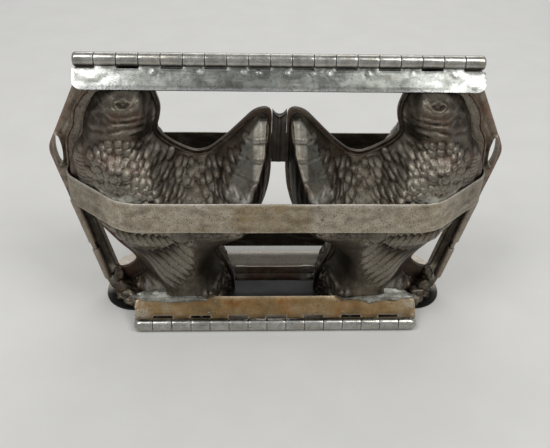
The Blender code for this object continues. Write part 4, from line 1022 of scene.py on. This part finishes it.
# slot, finish, body, hinge, turn about the pin, then: odd knuckles, outside, drop, pips, and the side
# where a barrel shows through the other leaf's slot
leaves = {"front_top_leaf": ("tin_bright", "brightTin", "front_half", "top", 225, (False, -1, 0, pips)),
          "rear_top_leaf": ("tin_bright", "brightTin", "rear_half", "top", -45, (True, 1, 0, (), -90)),
          "front_bottom_leaf": ("tin_bronze", "bronzeTin", "front_half", "foot", 48, (True, 1, 0)),
          "base_leaf": ("tin_bronze", "shadeDarkTin", "base", "foot", 0, (False, -1, -3.85, (), 48))}
for node, (slotName, tin, body, which, turned, shape) in leaves.items():
    sizes = (hinge[which + key] for key in ("Length", "Count", "Tip"))
    place = (0, 0, hinge["topZ"]) if which == "top" else (0, hinge["footY"], hinge["footZ"])
    placing = Matrix.Translation(Vector(place) * mm) @ Matrix.Rotation(math.radians(turned), 4, "X")
    leaf, barrels = leafMeshes(node, *sizes, leafLooks[which], *shape)
    for mesh in (leaf, barrels):
        mesh.transform(placing)
    newPiece("beaten_" + node, leaf, tin, body, slotName, node)
    newPiece(node.replace("leaf", "barrels"), barrels, "rolledTin", body, slotName)
print("hinge leaves")

# Webs between the two birds: a saddle between the tails, a strip between the feet

webs = {"tailHalf": 4.7, "tailLow": 112.6, "tailTop": 150.4, "saddle": 3.6,
        "stripHalf": 29.6, "stripLow": 9.3, "stripTop": {"front": 15.5, "rear": 21.5}}


def webGrid(half, low, top, sag, columns, rows):  # points, and their share of the height
    share = np.repeat(np.linspace(0, 1, rows), columns)
    across = np.tile(np.linspace(-half, half, columns), rows)
    top = top - sag * (1 - (across / half) ** 2)
    return np.column_stack([across, low + (top - low) * share]), share


def webMesh(name, points, columns, rise, seed, marks):
    rise = np.clip(rise + 0.15 * wobble(points, 4, seed), -0.1, 2.5)
    verts = np.column_stack([points[:, 0], -outerFace - rise, points[:, 1]])
    return thickSheet(name, verts, gridTris(columns, len(points) // columns), (0, sheet["plate"], 0), marks)


for half, front in halves:
    points, top = webGrid(webs["tailHalf"], webs["tailLow"], webs["tailTop"], webs["saddle"], 15, 40)
    rise = 0.9 * smoothStep(0.95, 1, top) + 0.25 * np.cos(points[:, 0] * 1.3)
    saddle = webMesh(half + "_saddle", points, 15, rise, 3,
                     {"wear": 0.5 * smoothStep(0.965, 1, top), "grime": 0.3 * (1 - top), "rust": 0.2})
    newPiece(half + "_tail_saddle", saddle, "shadeDarkTin", half + "_half", "tin_dark", half + "_tail_bridge",
             front=front)
    points, top = webGrid(webs["stripHalf"], webs["stripLow"], webs["stripTop"][half], 0, 60, 10)
    lump = bell(points[:, 0], 24, 5) + 0.6 * bell(points[:, 0], -25, 4)
    rise = 1.2 * lump * (0.6 + 0.5 * wobble(points, 3, 2)) + 0.4 * bell(top, 0.5, 0.3)
    strip = webMesh(half + "_strip", points, 60, rise, 6,
                    {"wear": 0.5 * smoothStep(0.8, 1, top), "grime": 0.1 + 0.3 * wobble(points, 6, 4),
                     "rust": 0.8, "solder": lump})
    newPiece(half + "_feet_strip", strip, "edgeTin", half + "_half", "tin_dark", half + "_foot_strip",
             front=front)
print("webs")

# Solder wiped over the joints: flat grey lumps with ragged edges

solders = {  # finish, raggedness, then each lump: middle, half sizes, lean about X in degrees
    "foot": ("wipedSolder", 1.3, [((73.5, -30.4, 19.6), (25, 1.8, 5), -36)]),
    "side_foot": ("stampedTin", 0.8, [
        ((115, -2.6, 15.5), (4.5, 3, 7), 0), ((111, -5.5, 8), (7, 5.5, 6.5), 20),
        ((106, -10.5, 5), (7.5, 6.5, 5.5), 10), ((103.5, -16.5, 4), (6.5, 6, 4.5), 0),
        ((112, -9, 3), (5, 6, 3.5), 0)])}


def lumpPart(middle, sizes, lean, ragged, seed):
    rings, sides = 15, 36
    up = np.repeat(np.arange(rings) * math.pi / (rings - 1), sides)
    turn = np.tile(np.arange(sides) * math.tau / sides, rings)
    verts = np.column_stack([np.cos(up), np.sin(up) * np.cos(turn), np.sin(up) * np.sin(turn)]) * sizes
    rough = 0.35 * wobble(verts, (5, 3, 3), seed) + 0.2 * wobble(verts, 1.8, seed + 30)
    verts *= (1 + ragged * rough)[:, None]
    verts += np.column_stack([wobble(verts, 2.2, seed + k) for k in (5, 9, 13)]) * (0.5, 0.35, 0.4)
    x, y, z = verts.T
    angle = math.radians(lean)
    turned = np.column_stack([x, y * math.cos(angle) - z * math.sin(angle),
                              y * math.sin(angle) + z * math.cos(angle)]) + middle
    turned[:, 2] = np.maximum(turned[:, 2], footCut)
    marks = {"wear": 0.3 * smoothStep(0, 0.5, wobble(verts, 3, seed)),
             "grime": 0.5 * smoothStep(0.1, 0.5, wobble(verts, 4, seed + 2)),
             "rust": 0.5 * smoothStep(0, 0.4, wobble(verts, 5, seed + 7))}
    return turned, ringFaces(rings, sides, True), marks


for name, (tin, ragged, lumps) in solders.items():
    for sideName, side in (("left", -1), ("right", 1)):
        heap = joined("solder_" + name, [lumpPart(*lump, ragged, 3 * place + side)
                                         for place, lump in enumerate(lumps)])
        newPiece(f"wiped_solder_{name}_{sideName}", heap, tin, "front_half", "tin_grey", side=side)

# Soldered seams where the flanges of the birds meet the side plates: a low uneven bead along each

seam = {"wide": 1.25, "high": 0.8, "step": 1.5, "shift": 0.24, "sides": 10}


def seamPart(line, seed):
    path = evenPath(smoothPath([(x + seam["shift"], z) for x, z in line], 1), seam["step"])
    path = path[path[:, 1] > footCut]
    swell = 1 + 0.45 * wobble(path, 3, seed) + 0.25 * wobble(path, 1.3, seed + 6)
    swell[[0, -1]] *= 0.3
    turn = np.arange(seam["sides"]) * math.tau / seam["sides"]
    spots = path[:, None] + rightOf(path)[:, None] * (seam["wide"] * swell[:, None] * np.cos(turn))[..., None]
    rise = seam["high"] * swell[:, None] * np.sin(turn)
    verts = np.dstack([spots[..., 0], -outerFace - rise, np.maximum(footCut, spots[..., 1])]).reshape(-1, 3)
    faces = ringFaces(len(path), len(turn)) + [cap[::-1] for cap in endCaps(len(path), len(turn))]
    marks = {"wear": 0.3 * smoothStep(0.1, 0.4, wobble(verts, 4, seed + 4)),
             "grime": 0.3 + 0.4 * wobble(verts, 5, seed + 2), "rust": 0.4 + 0.5 * wobble(verts, 6, seed)}
    return verts, faces, marks


bead = joined("seam_beads", [seamPart(bird["upperSeam"], 2), seamPart(bird["lowerSeam"], 8)])
for half, front, sideName, side in quarters:
    newPiece(f"soldered_seam_{half}_{sideName}", bead, "edgeTin", half + "_half", "tin_dark",
             side=side, front=front)
print("solder")

# The plain nodes that stay as they are take a finish, with their sharp edges eased

finish = {"base_plate": "baseTin", "pin": "drawnWire", "wire": "drawnWire"}
easedEdge = 0.25
for name, item in nodes.items():
    for key, tin in finish.items():
        if key in name:
            item.data.materials.clear()
            item.data.materials.append(tins[tin])
            ease = item.modifiers.new("eased_edge", "BEVEL")
            ease.width, ease.segments, ease.limit_method = easedEdge * mm, 2, "ANGLE"
print("finished nodes")

# Floor, light and camera

stage = {"paper": ("#d2d1cd", "#d6d5d1"), "air": (0.97, 0.98, 1, 1), "airLevel": 0.52,
         "lamps": {  # place, aim, size, power
             "soft_left": ((-0.56, -0.46, 1.2), (0, 0, 0.1), (0.45, 0.7), 5),
             "soft_right": ((0.56, -0.46, 1.2), (0, 0, 0.1), (0.45, 0.7), 5),
             "soft_back": ((0.1, 1.1, 1), (0, 0, 0), (1.2, 0.6), 4)}}
paper = bpy.data.materials.new("pale_paper_floor")
paper.use_nodes = True
tree = paper.node_tree
shader = tree.nodes["Principled BSDF"].inputs
place = addNode(tree, "TexCoord", {}, "Object")
fibre = addNode(tree, "TexNoise", {"Scale": 1 / (40 * mm), "Detail": 4, "Vector": place})
fibre = addNode(tree, "ValToRGB", {"stops": list(zip((0.3, 0.7), stage["paper"])), "Fac": fibre})
tree.links.new(fibre, shader["Base Color"])
shader["Roughness"].default_value = 0.85
floorMesh = meshFrom("floor", [(-4000, -4000, 0), (4000, -4000, 0), (4000, 6000, 0), (-4000, 6000, 0)],
                     [(0, 1, 2, 3)], {})
floorMesh.materials.append(paper)
floor = bpy.data.objects.new("floor", floorMesh)
bpy.context.scene.collection.objects.link(floor)

world = bpy.data.worlds.new("studio")
bpy.context.scene.world = world
world.use_nodes = True
air = world.node_tree.nodes["Background"].inputs
air["Color"].default_value, air["Strength"].default_value = stage["air"], stage["airLevel"]

for name, (place, aim, size, power) in stage["lamps"].items():
    data = bpy.data.lights.new(name, "AREA")
    data.shape, data.energy = "RECTANGLE", power
    data.size, data.size_y = size
    lamp = bpy.data.objects.new(name, data)
    lamp.location = place
    lamp.rotation_euler = (Vector(aim) - Vector(place)).to_track_quat("-Z", "Y").to_euler()
    bpy.context.scene.collection.objects.link(lamp)

cameraAim = {"place": (-23.4, -413.2, 355), "yaw": 3.14, "pitch": 35.43, "roll": 1.82, "film": 36,
             "focal": 712 / 550 * 36, "clip": (0.02, 20)}
yaw, pitch, roll = (math.radians(cameraAim[key]) for key in ("yaw", "pitch", "roll"))
forward = Vector((math.sin(yaw) * math.cos(pitch), math.cos(yaw) * math.cos(pitch), -math.sin(pitch)))
level = Vector((math.cos(yaw), -math.sin(yaw), 0))
upward = level.cross(forward)
rightWay = level * math.cos(roll) + upward * math.sin(roll)
upWay = -level * math.sin(roll) + upward * math.cos(roll)
lens = bpy.data.cameras.new("camera")
lens.sensor_width, lens.lens = cameraAim["film"], cameraAim["focal"]
lens.clip_start, lens.clip_end = cameraAim["clip"]
camera = bpy.data.objects.new("camera", lens)
bpy.context.scene.collection.objects.link(camera)
camera.matrix_world = (Matrix.Translation(Vector(cameraAim["place"]) * mm)
                       @ Matrix((rightWay, upWay, -forward)).transposed().to_4x4())
bpy.context.scene.camera = camera
bpy.context.scene.view_settings.view_transform = "Standard"
